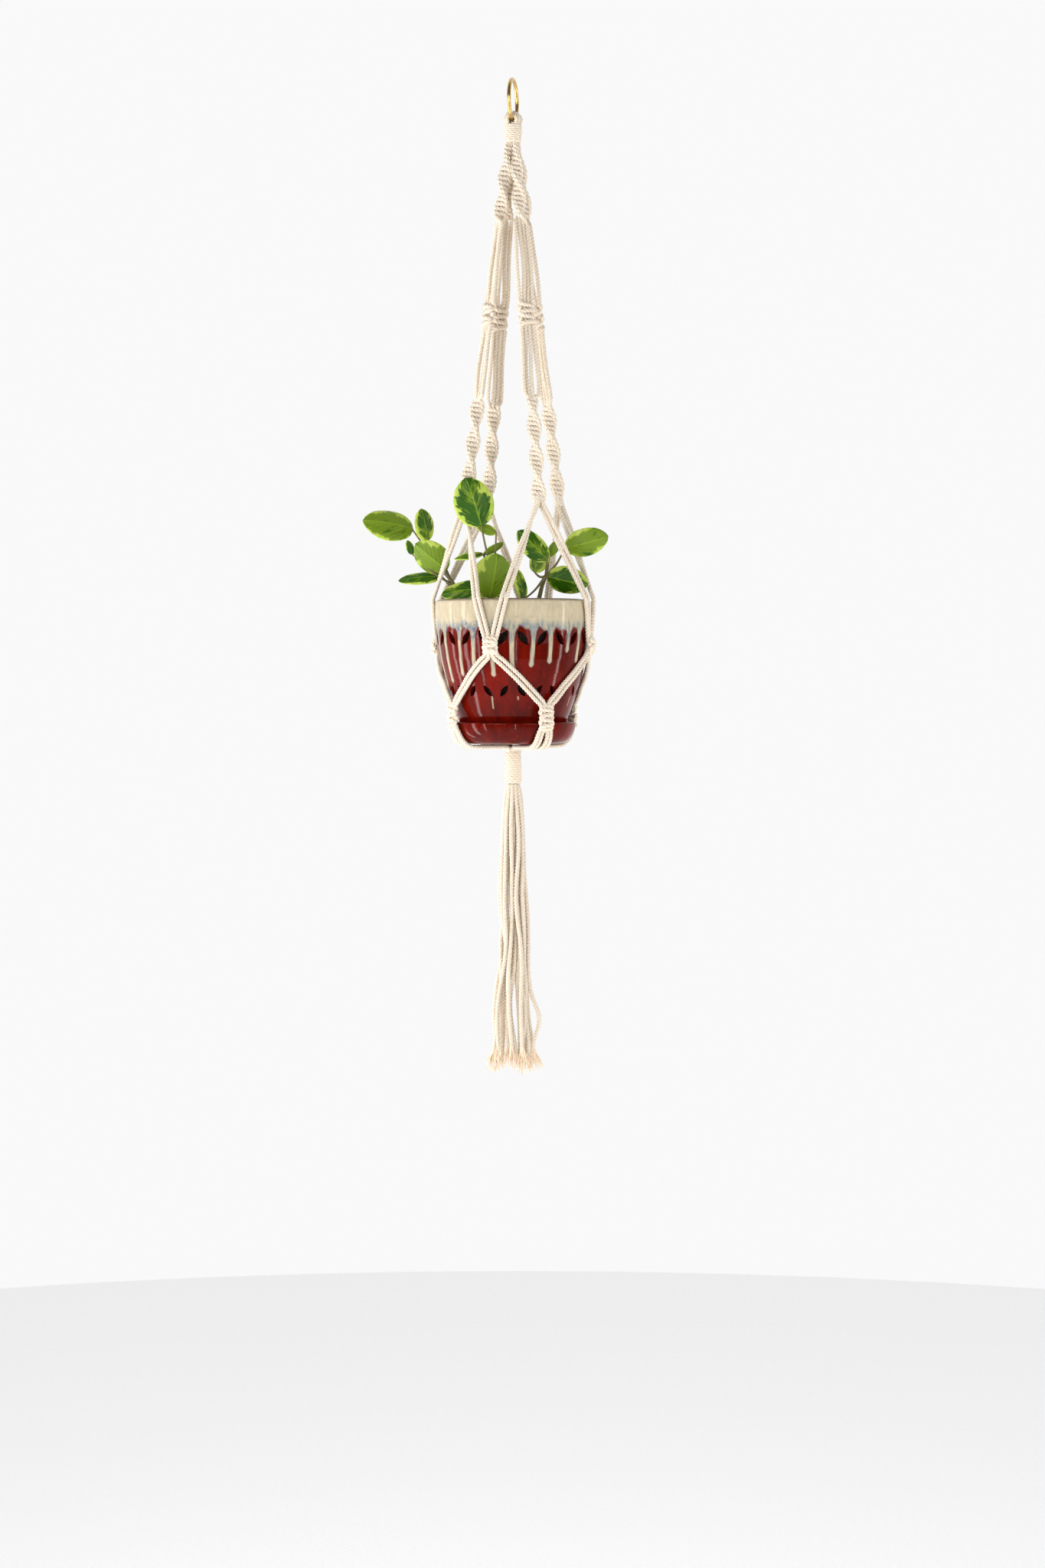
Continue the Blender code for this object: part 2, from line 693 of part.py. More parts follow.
# ---------------------------------------------------------------- assembly
def make_sling(group, cutters):
    """The four arms and the net that carries the pot."""
    pair = row_outline("pair_section", 2, cutters)
    four = row_outline("four_section", 4, cutters)
    oval = oval_outline("sinnet_section", SINNET_W, SINNET_T, cutters)
    upper_lobe = (-88.6 * MM, -92.0 * MM, -108.0 * MM, -99.7 * MM)
    lower_lobe = (-363.0 * MM, -384.0 * MM, -379.0 * MM, -378.0 * MM)
    runs = ((UPPER_SINNET[1], MID_KNOT[0]), (MID_KNOT[1], LOWER_SINNET[0]))
    made = []
    for k, azimuth in enumerate(ARMS):
        tag = "_" + "abcd"[k]
        made += [
            sinnet("upper_sinnet" + tag, azimuth, UPPER_SINNET, upper_lobe[k], oval, group),
            straight_run("upper_run" + tag, azimuth, runs[0], four, group),
            knot_on_arm("mid_knot" + tag, azimuth, group),
            straight_run("lower_run" + tag, azimuth, runs[1], four, group),
            sinnet("lower_sinnet" + tag, azimuth, LOWER_SINNET, lower_lobe[k], oval, group),
            upper_leg("net_leg" + tag + "1", azimuth, 1, pair, group),
            upper_leg("net_leg" + tag + "2", azimuth, -1, pair, group),
            join_knot("join_knot" + tag, azimuth + 45.0, group),
            lower_leg("net_tie" + tag + "1", azimuth + 45.0, 1, pair, group),
            lower_leg("net_tie" + tag + "2", azimuth + 45.0, -1, pair, group),
            base_knot("base_knot" + tag, azimuth, group),
            under_run("under_run" + tag, azimuth, four, group),
        ]
    gather_top = SAUCER_END - EASE
    profile = [(0.0, gather_top), (WRAP_END_R * 0.8, gather_top)]
    profile += [(WRAP_END_R + 1.0 * MM, UNDER_Z), (WRAP_END_R * 0.8, GATHER_END)]
    made.append(turned("base_gather", profile + [(0.0, GATHER_END)], 24, group))
    return made


def knot_on_arm(name, azimuth, group):
    tall = (MID_KNOT[1] - MID_KNOT[0]) * ARM_DROP - GAP
    knot = block(name, (KNOT_W, KNOT_T, tall), 3.6 * MM, group)
    middle = ARM_TOP - (MID_KNOT[0] + MID_KNOT[1]) / 2 * ARM_DROP
    knot.location = arm_point(azimuth, middle)
    knot.rotation_euler = (0.0, 0.0, math.radians(azimuth))
    return knot


def join_knot(name, azimuth, group):
    knot = block(name, (JOIN_W, JOIN_T, JOIN_H), 3.2 * MM, group)
    rise = JOIN_H / 2
    slope = math.atan2(pot_radius(JOIN_Z + rise) - pot_radius(JOIN_Z - rise), JOIN_H)
    reach = max(pot_radius(JOIN_Z), pot_radius(JOIN_Z + rise)) + EASE + JOIN_T / 2
    knot.location = polar(reach, azimuth, JOIN_Z)
    knot.rotation_euler = (slope * 0.5, 0.0, math.radians(azimuth))
    return knot


def base_knot(name, azimuth, group):
    knot = block(name, (BASE_W, BASE_T, BASE_H), 3.2 * MM, group)
    knot.location = polar(base_radius(), azimuth, BASE_TOP - BASE_H / 2)
    knot.rotation_euler = (0.0, 0.0, math.radians(azimuth))
    return knot


def pivot(name, location, group, items, parent=None):
    """An empty on a joint's axis, with the pieces that turn on it as its children."""
    empty = add_object(name, None, group)
    empty.empty_display_size = 0.02
    empty.location = location
    if parent:
        empty.parent = parent
        empty.location = Vector(location) - Vector(parent["at"])
    empty["at"] = location
    for item in items:
        item.parent = empty
        item.matrix_parent_inverse = Matrix.Translation(-Vector(location))
    return empty


def main():
    clear_scene()
    group = collection("macrame_planter")
    cutters = collection("cutters")

    ring = torus("hanging_ring", RING_R, RING_WIRE / 2, group)
    give_material(ring, (0.62, 0.47, 0.22), 0.25, 1.0)
    loops = make_loops(group, cutters)
    wrap_shape = ((WRAP_TOP_R * 0.86, 0.0), (WRAP_TOP_R, 0.12), (WRAP_TOP_R * 0.97, 0.5))
    profile = [(0.0, WRAP_TOP)] + [(r, WRAP_TOP - s * WRAP_LEN) for r, s in wrap_shape]
    profile += [(WRAP_END_R, WRAP_END + 1.5 * MM), (WRAP_END_R * 0.86, WRAP_END), (0.0, WRAP_END)]
    wrap = turned("top_wrap", profile, 24, group)

    sling = make_sling(group, cutters)
    tassel_top = TASSEL_WRAP_Z - NECK_DROP
    tassel_wrap = domed(
        "tassel_wrap",
        tassel_top,
        ((0.0, TASSEL_WRAP_R), (0.9, TASSEL_WRAP_END_R), (1.0, TASSEL_WRAP_END_R * 0.9)),
        tassel_top - TASSEL_WRAP_LEN,
        group,
    )
    bundle_top = TASSEL_Z - NECK_DROP
    tassel = domed(
        "tassel",
        bundle_top,
        (
            (0.0, 8.6 * MM),
            (0.10, 12.5 * MM),
            (0.44, 16.0 * MM),
            (0.64, 17.6 * MM),
            (0.85, 22.0 * MM),
            (1.0, TASSEL_END_R),
        ),
        bundle_top - TASSEL_LEN,
        group,
    )
    for item in [loops, wrap, tassel_wrap, tassel] + sling:
        give_material(item, COTTON, 0.9)

    pot = make_pot(group, cutters)
    saucer = make_saucer(group)
    for item in (pot, saucer):
        give_material(item, OXBLOOD, 0.12, 0.0, 0.6)
    soil = make_root_ball(group)
    give_material(soil, (0.018, 0.012, 0.008), 0.95)
    shoots = [make_shoot(key, group) for key in SHOOTS]
    for item in shoots:
        give_material(item, (0.10, 0.26, 0.03), 0.4)
    for item in [ring, tassel, tassel_wrap, loops, wrap]:
        smooth(item)

    crown = pivot("crown_axis", (0.0, 0.0, RING_Z), group, [loops, wrap])
    carried = sling + [pot, saucer, soil] + shoots
    swing = pivot("sling_axis", (0.0, 0.0, SLING_Z), group, carried, crown)
    neck = pivot("neck_axis", (0.0, 0.0, TASSEL_WRAP_Z), group, [tassel_wrap], swing)
    pivot("tassel_axis", (0.0, 0.0, TASSEL_Z), group, [tassel], neck)
    bpy.context.view_layer.update()


main()
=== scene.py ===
"""Macrame plant hanger, its pot and plant, with their finished surfaces and a studio.

Runs as a script or sits in Blender's text editor as an add-on: each group of pieces
has its own operator, and the sizes and colours are in the scene's properties.
"""

import math
import random

import bmesh
import bpy
import numpy as np
from mathutils import Matrix, Vector


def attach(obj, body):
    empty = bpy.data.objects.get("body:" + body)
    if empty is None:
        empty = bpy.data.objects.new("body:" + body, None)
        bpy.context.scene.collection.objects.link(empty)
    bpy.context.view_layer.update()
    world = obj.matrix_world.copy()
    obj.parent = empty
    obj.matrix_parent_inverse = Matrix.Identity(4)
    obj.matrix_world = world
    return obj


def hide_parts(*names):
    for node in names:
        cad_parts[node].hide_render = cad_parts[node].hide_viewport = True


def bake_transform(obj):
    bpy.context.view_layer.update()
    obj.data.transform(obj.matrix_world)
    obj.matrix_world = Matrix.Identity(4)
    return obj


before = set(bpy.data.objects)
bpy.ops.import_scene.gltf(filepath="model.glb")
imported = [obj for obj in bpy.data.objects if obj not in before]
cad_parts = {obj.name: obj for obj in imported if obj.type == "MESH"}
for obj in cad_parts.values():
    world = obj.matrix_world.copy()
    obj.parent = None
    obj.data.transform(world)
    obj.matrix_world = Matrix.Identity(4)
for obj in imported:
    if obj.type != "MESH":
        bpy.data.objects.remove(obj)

bl_info = {
    "name": "Macrame Plant Hanger",
    "version": (1, 0, 0),
    "blender": (4, 5, 0),
    "location": "View3D > Sidebar > Planter",
    "description": "Builds a knotted plant hanger with a glazed pot and a plant",
    "category": "Add Mesh",
}

MM = 0.001
UP = np.array((0.0, 0.0, 1.0))

# Heights and reaches of the frame, in metres from the hang point.
RING_R = 21.0 * MM
RING_Z = -19.0 * MM
RING_TURN = math.radians(11.5)
WRAP_TOP = -43.0 * MM
WRAP_END = -64.0 * MM
ARM_TOP = -67.0 * MM
ARM_END = -439.0 * MM
ARM_TOP_R = 4.9 * MM
ARM_END_R = 56.0 * MM
ARMS = (29.0, 119.0, 209.0, 299.0)
UPPER_END = -141.4 * MM
MID_KNOT = (-232.2 * MM, -256.0 * MM)
LOWER_TOP = -335.6 * MM
RIM_Z = -540.0 * MM
JOIN_Z = -588.96 * MM
BASE_TOP = -652.0 * MM
BASE_END = -674.5 * MM
SAUCER_TOP = -669.0 * MM
SAUCER_END = -691.0 * MM
SAUCER_R = 66.4 * MM
BASE_R = 71.6 * MM
TWRAP_TOP = -699.3 * MM
TWRAP_END = -734.3 * MM
TASSEL_END = -1016.0 * MM
# Half a joining knot's height, and how far beside its middle a pair of cords meets it.
JOIN_HALF = 7.5 * MM
PAIR_ASIDE = 4.6 * MM
# The tassel's cords, and how many of them stand in its outer ring.
TASSEL_CORDS = 16
OUTER_CORDS = 11
# Pierced leaves in each row, as many as runs of glaze, and the degrees between them.
PIERCED = 24
PIERCED_TURN = 360.0 / PIERCED
# The pot's side: share of its height below the rim, share of its radius.
POT_SHAPE = (
    (0.0, 0.975),
    (0.02, 0.998),
    (0.08, 1.0),
    (0.18, 0.988),
    (0.32, 0.972),
    (0.43, 0.944),
    (0.53, 0.900),
    (0.66, 0.830),
    (0.82, 0.733),
    (0.88, 0.690),
    (0.985, 0.662),
    (1.0, 0.645),
)
# How far a cord keeps off the pot and the saucer.
EASE = 1.0 * MM


# ---------------------------------------------------------------- properties
def length(name, description, default):
    return bpy.props.FloatProperty(
        name=name, description=description, default=default, unit="LENGTH", precision=5
    )


def colour(name, description, default):
    return bpy.props.FloatVectorProperty(
        name=name,
        description=description,
        default=default,
        subtype="COLOR",
        size=3,
        min=0.0,
        max=1.0,
    )


class CordSettings(bpy.types.PropertyGroup):
    """Sizes and colours of the cotton cord."""

    diameter: length("Diameter", "Thickness of a free cord", 5.0 * MM)
    lay: length("Lay", "Length of one turn of the cord's three plies", 10.5 * MM)
    step: length("Step", "Spacing of the rings that make a cord", 1.05 * MM)
    bar_step: length("Bar Step", "Drop of one half knot", 5.3 * MM)
    sinnet_half_turn: length("Half Turn", "Drop of half a turn of a spiral", 34.0 * MM)
    # Light is the cotton's own colour. Deep is painted shade, the tan put in the grooves between the
    # plies; the loose yarn reuses it, brightened, as a random fibre tone.
    light: colour("Light", "Cotton on its crests", (0.91, 0.825, 0.705))
    deep: colour("Deep", "Cotton between its plies", (0.74, 0.54, 0.34))


class PotSettings(bpy.types.PropertyGroup):
    """Sizes and colours of the pot and its saucer."""

    radius: length("Radius", "Outer radius at the rim", 81.6 * MM)
    height: length("Height", "Height of the pot", 145.7 * MM)
    wall: length("Wall", "Thickness of the pot's wall", 5.0 * MM)
    hole_length: length("Hole Length", "Length of an upper pierced leaf", 18.5 * MM)
    hole_width: length("Hole Width", "Width of an upper pierced leaf", 7.5 * MM)
    drip_height: length("Drip Height", "How far a run of glaze stands proud", 0.7 * MM)
    red: colour("Red", "Main glaze", (0.175, 0.0050, 0.0008))
    dark: colour("Dark", "Main glaze where it is thin", (0.065, 0.0028, 0.0008))
    cream: colour("Cream", "Run glaze at the rim", (0.52, 0.44, 0.30))
    grey: colour("Grey", "Run glaze where it breaks", (0.22, 0.26, 0.27))


class PlantSettings(bpy.types.PropertyGroup):
    """Sizes and colours of the plant."""

    thickness: length("Thickness", "Thickness of a leaf", 0.9 * MM)
    stalk: length("Stalk", "Radius of a leaf's stalk", 1.3 * MM)
    green: colour("Green", "Leaf's middle", (0.030, 0.105, 0.003))
    lime: colour("Lime", "Leaf's flecks", (0.23, 0.36, 0.020))
    pale: colour("Pale", "Leaf's margin", (0.58, 0.62, 0.14))
    stem: colour("Stem", "Stalks", (0.15, 0.13, 0.04))


class StageSettings(bpy.types.PropertyGroup):
    """Camera, lights and floor."""

    distance: length("Distance", "Camera to the planter", 3.0)
    eye: length("Eye", "Camera height from the hang point", -0.615)
    aim: length("Aim", "Height that the camera looks at", -0.734)
    lens: bpy.props.FloatProperty(
        name="Lens", description="Focal length in mm", default=65.37, subtype="NONE"
    )
    backdrop: colour("Backdrop", "Background", (0.9473, 0.9473, 0.9473))


# ---------------------------------------------------------------- shared geometry
def polar(radius, azimuth, z):
    """A point at an azimuth in degrees from the front."""
    turn = math.radians(azimuth)
    return np.array((radius * math.sin(turn), -radius * math.cos(turn), z))


def around(azimuth):
    turn = math.radians(azimuth)
    return np.array((math.cos(turn), math.sin(turn), 0.0))


def outward(azimuth):
    return polar(1.0, azimuth, 0.0)


def unit(vector):
    return vector / max(np.linalg.norm(vector), 1e-12)


def pot_radius(z):
    pot = bpy.context.scene.planter_pot
    shares = [s for s, _ in POT_SHAPE]
    values = [v for _, v in POT_SHAPE]
    return pot.radius * float(np.interp((RIM_Z - z) / pot.height, shares, values))


def wall_radius(z):
    """Where the net lies: on the pot, then straight down to the saucer's rim."""
    leave = RIM_Z - 0.62 * bpy.context.scene.planter_pot.height
    if z >= leave:
        return pot_radius(z)
    share = min(1.0, (leave - z) / (leave - SAUCER_TOP))
    return pot_radius(leave) + (SAUCER_R - pot_radius(leave)) * share


def leg_radius(z):
    return wall_radius(z) + EASE + bpy.context.scene.planter_cord.diameter / 2


def arm_point(azimuth, z):
    share = (ARM_TOP - z) / (ARM_TOP - ARM_END)
    return polar(ARM_TOP_R + (ARM_END_R - ARM_TOP_R) * share, azimuth, z)


def saucer_side(share):
    """A point down the saucer's outer side, share 0 at its rim, 1 where it is flat."""
    turn = math.pi / 2 * share
    flat = SAUCER_R * 0.72
    radius = flat + (SAUCER_R - flat) * math.cos(turn) ** 0.8
    drop = (SAUCER_TOP - SAUCER_END) * math.sin(turn) ** 1.15
    return radius, SAUCER_TOP - drop


# ---------------------------------------------------------------- cords
def measure(path):
    steps = np.linalg.norm(np.diff(path, axis=0), axis=1)
    return np.concatenate([[0.0], np.cumsum(steps)])


def resample(path, step):
    """Evenly spaced points along a dense path."""
    along = measure(path)
    count = max(3, int(round(along[-1] / step)) + 1)
    at = np.linspace(0.0, along[-1], count)
    return np.stack([np.interp(at, along, path[:, k]) for k in range(3)], axis=1)


def smooth_path(points, step):
    """A smooth curve through the points, evenly spaced."""
    p = np.array(points, float)
    ends = np.vstack([2 * p[0] - p[1], p, 2 * p[-1] - p[-2]])
    t = np.linspace(0.0, 1.0, 10, endpoint=False)[:, None]
    pieces = []
    for k in range(1, len(ends) - 2):
        a, b, c, d = ends[k - 1 : k + 3]
        bend = 2 * a - 5 * b + 4 * c - d
        twist = 3 * b - a - 3 * c + d
        pieces.append(0.5 * (2 * b + (c - a) * t + bend * t**2 + twist * t**3))
    return resample(np.vstack([*pieces, p[-1:]]), step)


def frames(path):
    """Two directions across a path at each point, carried along without twisting."""
    ahead = np.gradient(path, axis=0)
    ahead /= np.linalg.norm(ahead, axis=1)[:, None] + 1e-12
    start = np.cross(ahead[0], (0.31, 0.87, 0.38))
    side = unit(start)
    sides = []
    for tangent in ahead:
        side = unit(side - tangent * side.dot(tangent))
        sides.append(side)
    sides = np.array(sides)
    return sides, np.cross(ahead, sides)


def tube(path, radii, lay, sides=12, depth=0.25, phase=0.0):
    """A laid cord: three plies that turn round each other along the path."""
    across, over = frames(path)
    along = measure(path)
    radii = np.broadcast_to(np.asarray(radii, float), (len(path),))
    turn = 2 * math.pi * along / lay + phase
    spoke = 2 * math.pi * np.arange(sides) / sides
    lobes = 1.0 - depth * (0.5 - 0.5 * np.cos(3 * spoke))
    angle = turn[:, None] + spoke[None, :]
    reach = radii[:, None] * lobes[None, :]
    points = path[:, None, :] + across[:, None, :] * (np.cos(angle) * reach)[..., None]
    points = points + over[:, None, :] * (np.sin(angle) * reach)[..., None]
    rings = len(path)
    verts = np.vstack([points.reshape(-1, 3), path[:1], path[-1:]])
    j = np.arange(sides)
    nxt = (j + 1) % sides
    row = np.arange(rings - 1)[:, None] * sides
    quads = np.stack([row + j, row + nxt, row + sides + nxt, row + sides + j], axis=-1)
    faces = quads.reshape(-1, 4).tolist()
    v = along / lay
    uvs = []
    for k in range(rings - 1):
        for a in range(sides):
            low, high = a / sides, (a + 1) / sides
            uvs += [(low, v[k]), (high, v[k]), (high, v[k + 1]), (low, v[k + 1])]
    first, last = rings * sides, rings * sides + 1
    for a in range(sides):
        b = (a + 1) % sides
        faces.append([first, b, a])
        uvs += [(0.5, v[0]), ((a + 1) / sides, v[0]), (a / sides, v[0])]
        end = (rings - 1) * sides
        faces.append([last, end + a, end + b])
        uvs += [(0.5, v[-1]), (a / sides, v[-1]), ((a + 1) / sides, v[-1])]
    return verts, faces, uvs


def build(name, parts, material):
    """One object from several pieces of geometry, in the row frame."""
    verts, faces, uvs = [], [], []
    base = 0
    for part_verts, part_faces, part_uvs in parts:
        verts.append(part_verts)
        faces += [[i + base for i in face] for face in part_faces]
        uvs += part_uvs
        base += len(part_verts)
    mesh = bpy.data.meshes.new(name)
    mesh.from_pydata(np.vstack(verts).tolist(), [], faces)
    layer = mesh.uv_layers.new(name="cord")
    layer.data.foreach_set("uv", np.array(uvs, np.float32).ravel())
    mesh.materials.append(material)
    mesh.shade_smooth()
    mesh.update()
    item = bpy.data.objects.new(name, mesh)
    bpy.context.scene.collection.objects.link(item)
    return item


def cord(points, radius=None, phase=0.0):
    """Geometry of one cord through the points."""
    cords = bpy.context.scene.planter_cord
    radius = cords.diameter / 2 if radius is None else radius
    path = smooth_path(points, cords.step)
    return tube(path, radius, cords.lay * radius / (2.5 * MM), phase=phase)


def settle(item, body, nodes):
    """A piece that moves with one body and stands for these frame pieces."""
    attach(item, body)
    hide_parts(*nodes)
    return item


def knot_paths(centre, wide, deep, count, half_width, half_depth, square):
    """The two working cords of a run of half knots.

    centre, wide and deep give, for a share of the run, its middle line and its two
    directions. In a square knot one cord stays in front and the other behind.
    """
    t = np.linspace(0.0, count, int(count * 16) + 1)
    eased = t + (0.35 if square else 0.75) * np.sin(2 * math.pi * t) / (2 * math.pi)
    bump = np.sin(math.pi * t)
    if square:
        bump = np.abs(bump)
    paths = []
    for sign in (1.0, -1.0):
        points = []
        for k, share in enumerate(eased / count):
            swing = math.cos(math.pi * t[k])
            x = -sign * half_width * math.copysign(abs(swing) ** 0.75, swing)
            y = sign * half_depth * bump[k]
            points.append(centre(share) + wide(share) * x + deep(share) * y)
        paths.append(np.array(points))
    return paths


# ---------------------------------------------------------------- materials
class Nodes:
    """Small helper that adds and links shader nodes."""

    def __init__(self, name):
        self.material = bpy.data.materials.new(name)
        self.material.use_nodes = True
        self.tree = self.material.node_tree
        self.shader = self.tree.nodes["Principled BSDF"]

    def add(self, kind, inputs=(), **settings):
        node = self.tree.nodes.new(kind)
        for key, value in settings.items():
            setattr(node, key, value)
        for socket, value in dict(inputs).items():
            if isinstance(value, bpy.types.NodeSocket):
                self.tree.links.new(value, node.inputs[socket])
            else:
                node.inputs[socket].default_value = value
        return node

    def maths(self, operation, *values, clamp=False):
        inputs = dict(enumerate(values))
        return self.add("ShaderNodeMath", inputs, operation=operation, use_clamp=clamp).outputs[0]

    def mix(self, factor, a, b):
        node = self.tree.nodes.new("ShaderNodeMix")
        node.data_type = "RGBA"
        for socket, value in ((0, factor), (6, a), (7, b)):
            if isinstance(value, bpy.types.NodeSocket):
                self.tree.links.new(value, node.inputs[socket])
            else:
                node.inputs[socket].default_value = value
        return node.outputs[2]

    def noise(self, scale, detail=3.0, vector=None, roughness=0.55):
        inputs = {"Scale": scale, "Detail": detail, "Roughness": roughness}
        if vector is not None:
            inputs["Vector"] = vector
        return self.add("ShaderNodeTexNoise", inputs).outputs["Fac"]

    def ramp(self, factor, low, high):
        inputs = {"Value": factor, "From Min": low, "From Max": high}
        node = self.add("ShaderNodeMapRange", inputs, interpolation_type="SMOOTHSTEP")
        return node.outputs["Result"]

    def into(self, socket, value):
        if isinstance(value, bpy.types.NodeSocket):
            self.tree.links.new(value, self.shader.inputs[socket])
        else:
            self.shader.inputs[socket].default_value = value

    def bump(self, height, distance, strength=1.0):
        inputs = {"Height": height, "Distance": distance, "Strength": strength}
        self.into("Normal", self.add("ShaderNodeBump", inputs).outputs["Normal"])


def rgba(value, gain=1.0):
    return (*(min(1.0, c * gain) for c in value), 1.0)


def object_point(made):
    return made.add("ShaderNodeTexCoord").outputs["Object"]


def cotton_material():
    """Soft laid cotton: fibres along each ply, tan painted shade in the grooves and a faint fuzz."""
    cords = bpy.context.scene.planter_cord
    made = Nodes("cotton")
    uv = made.add("ShaderNodeUVMap", uv_map="cord").outputs["UV"]
    split = made.add("ShaderNodeSeparateXYZ", {"Vector": uv})
    u, v = split.outputs["X"], split.outputs["Y"]
    plies = made.maths("COSINE", made.maths("MULTIPLY", u, 6 * math.pi))
    lit_crest = made.maths("MULTIPLY_ADD", plies, 0.5, 0.5)
    place = object_point(made)
    broad = made.noise(38.0, 2.0, place)
    fibre_at = made.add(
        "ShaderNodeCombineXYZ",
        {"X": made.maths("MULTIPLY", u, 26.0), "Y": made.maths("MULTIPLY", v, 9.0)},
    ).outputs["Vector"]
    fibre = made.noise(3.0, 4.0, fibre_at, 0.7)
    fuzz = made.noise(2600.0, 2.0, place)
    light, deep = rgba(cords.light), rgba(cords.deep)
    # Painted shade: the deep tan fills the grooves between plies, the cotton's light colour stays on
    # the crests, broken up by fibre noise.
    depth = made.maths("MULTIPLY_ADD", lit_crest, 0.75, made.maths("MULTIPLY", fibre, 0.45), clamp=True)
    base = made.mix(made.ramp(depth, 0.05, 0.72), deep, light)
    worn = rgba([light[0] * 0.93, light[1] * 0.89, light[2] * 0.80])
    blotch = made.maths("MULTIPLY", made.ramp(broad, 0.45, 0.8), 0.55)
    made.into("Base Color", made.mix(blotch, base, worn))
    made.into("Roughness", made.maths("MULTIPLY_ADD", fibre, 0.12, 0.82))
    made.into("Sheen Weight", 0.35)
    made.into("Sheen Roughness", 0.6)
    made.into("Sheen Tint", (1.0, 0.97, 0.9, 1.0))
    height = made.maths("MULTIPLY_ADD", fibre, 0.7, made.maths("MULTIPLY", fuzz, 0.3))
    made.bump(height, 0.20 * MM, 0.7)
    return made.material


def yarn_material():
    """Untwisted cotton yarn."""
    cords = bpy.context.scene.planter_cord
    made = Nodes("loose_yarn")
    place = object_point(made)
    fibre = made.noise(700.0, 3.0, place)
    made.into("Base Color", made.mix(fibre, rgba(cords.deep, 1.25), rgba(cords.light, 1.08)))
    made.into("Roughness", made.maths("MULTIPLY_ADD", fibre, 0.1, 0.85))
    made.into("Sheen Weight", 0.3)
    return made.material


def brass_material():
    made = Nodes("brass")
    place = object_point(made)
    stain = made.noise(90.0, 4.0, place)
    fine = made.noise(900.0, 3.0, place)
    base = made.mix(made.ramp(stain, 0.35, 0.75), (0.70, 0.49, 0.18, 1), (0.52, 0.34, 0.11, 1))
    made.into("Base Color", base)
    made.into("Metallic", 1.0)
    made.into("Roughness", made.maths("MULTIPLY_ADD", stain, 0.10, 0.16))
    made.bump(fine, 0.004 * MM, 0.3)
    return made.material


def glaze_material(name, runs):
    """Oxblood glaze, thin and dark at edges. With runs, cream glaze streams down it."""
    pot = bpy.context.scene.planter_pot
    made = Nodes(name)
    place = object_point(made)
    cloud = made.noise(14.0, 4.0, place)
    streak_map = made.add("ShaderNodeMapping", {"Vector": place, "Scale": (90.0, 90.0, 9.0)})
    streak = made.noise(1.0, 3.0, streak_map.outputs["Vector"])
    speck = made.noise(420.0, 3.0, place)
    vary = made.maths("MULTIPLY_ADD", streak, 0.6, made.maths("MULTIPLY", cloud, 0.4))
    red = made.mix(made.ramp(vary, 0.33, 0.68), rgba(pot.dark, 1.2), rgba(pot.red))
    red = made.mix(made.ramp(speck, 0.60, 0.74), red, rgba(pot.red, 1.7))
    colour_now = red
    height = made.maths("MULTIPLY", cloud, 0.3)
    if runs:
        mask = made.add("ShaderNodeAttribute", attribute_name="glaze").outputs["Color"]
        parts = made.add("ShaderNodeSeparateColor", {"Color": mask})
        run, breaking, thin = (parts.outputs[k] for k in range(3))
        blue_map = made.add("ShaderNodeMapping", {"Vector": place, "Scale": (260, 260, 90)})
        mottle = made.noise(1.0, 4.0, blue_map.outputs["Vector"], 0.7)
        cream = made.mix(made.ramp(mottle, 0.35, 0.7), rgba(pot.cream), rgba(pot.cream, 1.18))
        tone = made.mix(made.ramp(mottle, 0.42, 0.60), rgba(pot.grey), rgba(pot.cream, 0.9))
        violet = made.mix(made.ramp(cloud, 0.5, 0.64), tone, (0.10, 0.09, 0.17, 1))
        tone = made.mix(made.maths("MULTIPLY", made.ramp(speck, 0.5, 0.62), 0.7), tone, violet)
        upper = made.mix(breaking, cream, tone)
        colour_now = made.mix(run, red, upper)
        colour_now = made.mix(thin, colour_now, rgba(pot.dark, 0.8))
    made.into("Base Color", colour_now)
    made.into("Roughness", made.maths("MULTIPLY_ADD", speck, 0.06, 0.06))
    made.into("IOR", 1.24)
    made.bump(height, 0.25 * MM, 0.35)
    return made.material


def soil_material():
    made = Nodes("soil")
    place = object_point(made)
    grain = made.noise(420.0, 5.0, place)
    base = made.mix(made.ramp(grain, 0.35, 0.7), (0.010, 0.007, 0.005, 1), (0.055, 0.033, 0.018, 1))
    made.into("Base Color", base)
    made.into("Roughness", made.maths("MULTIPLY_ADD", grain, 0.1, 0.85))
    made.bump(grain, 1.2 * MM, 1.0)
    return made.material


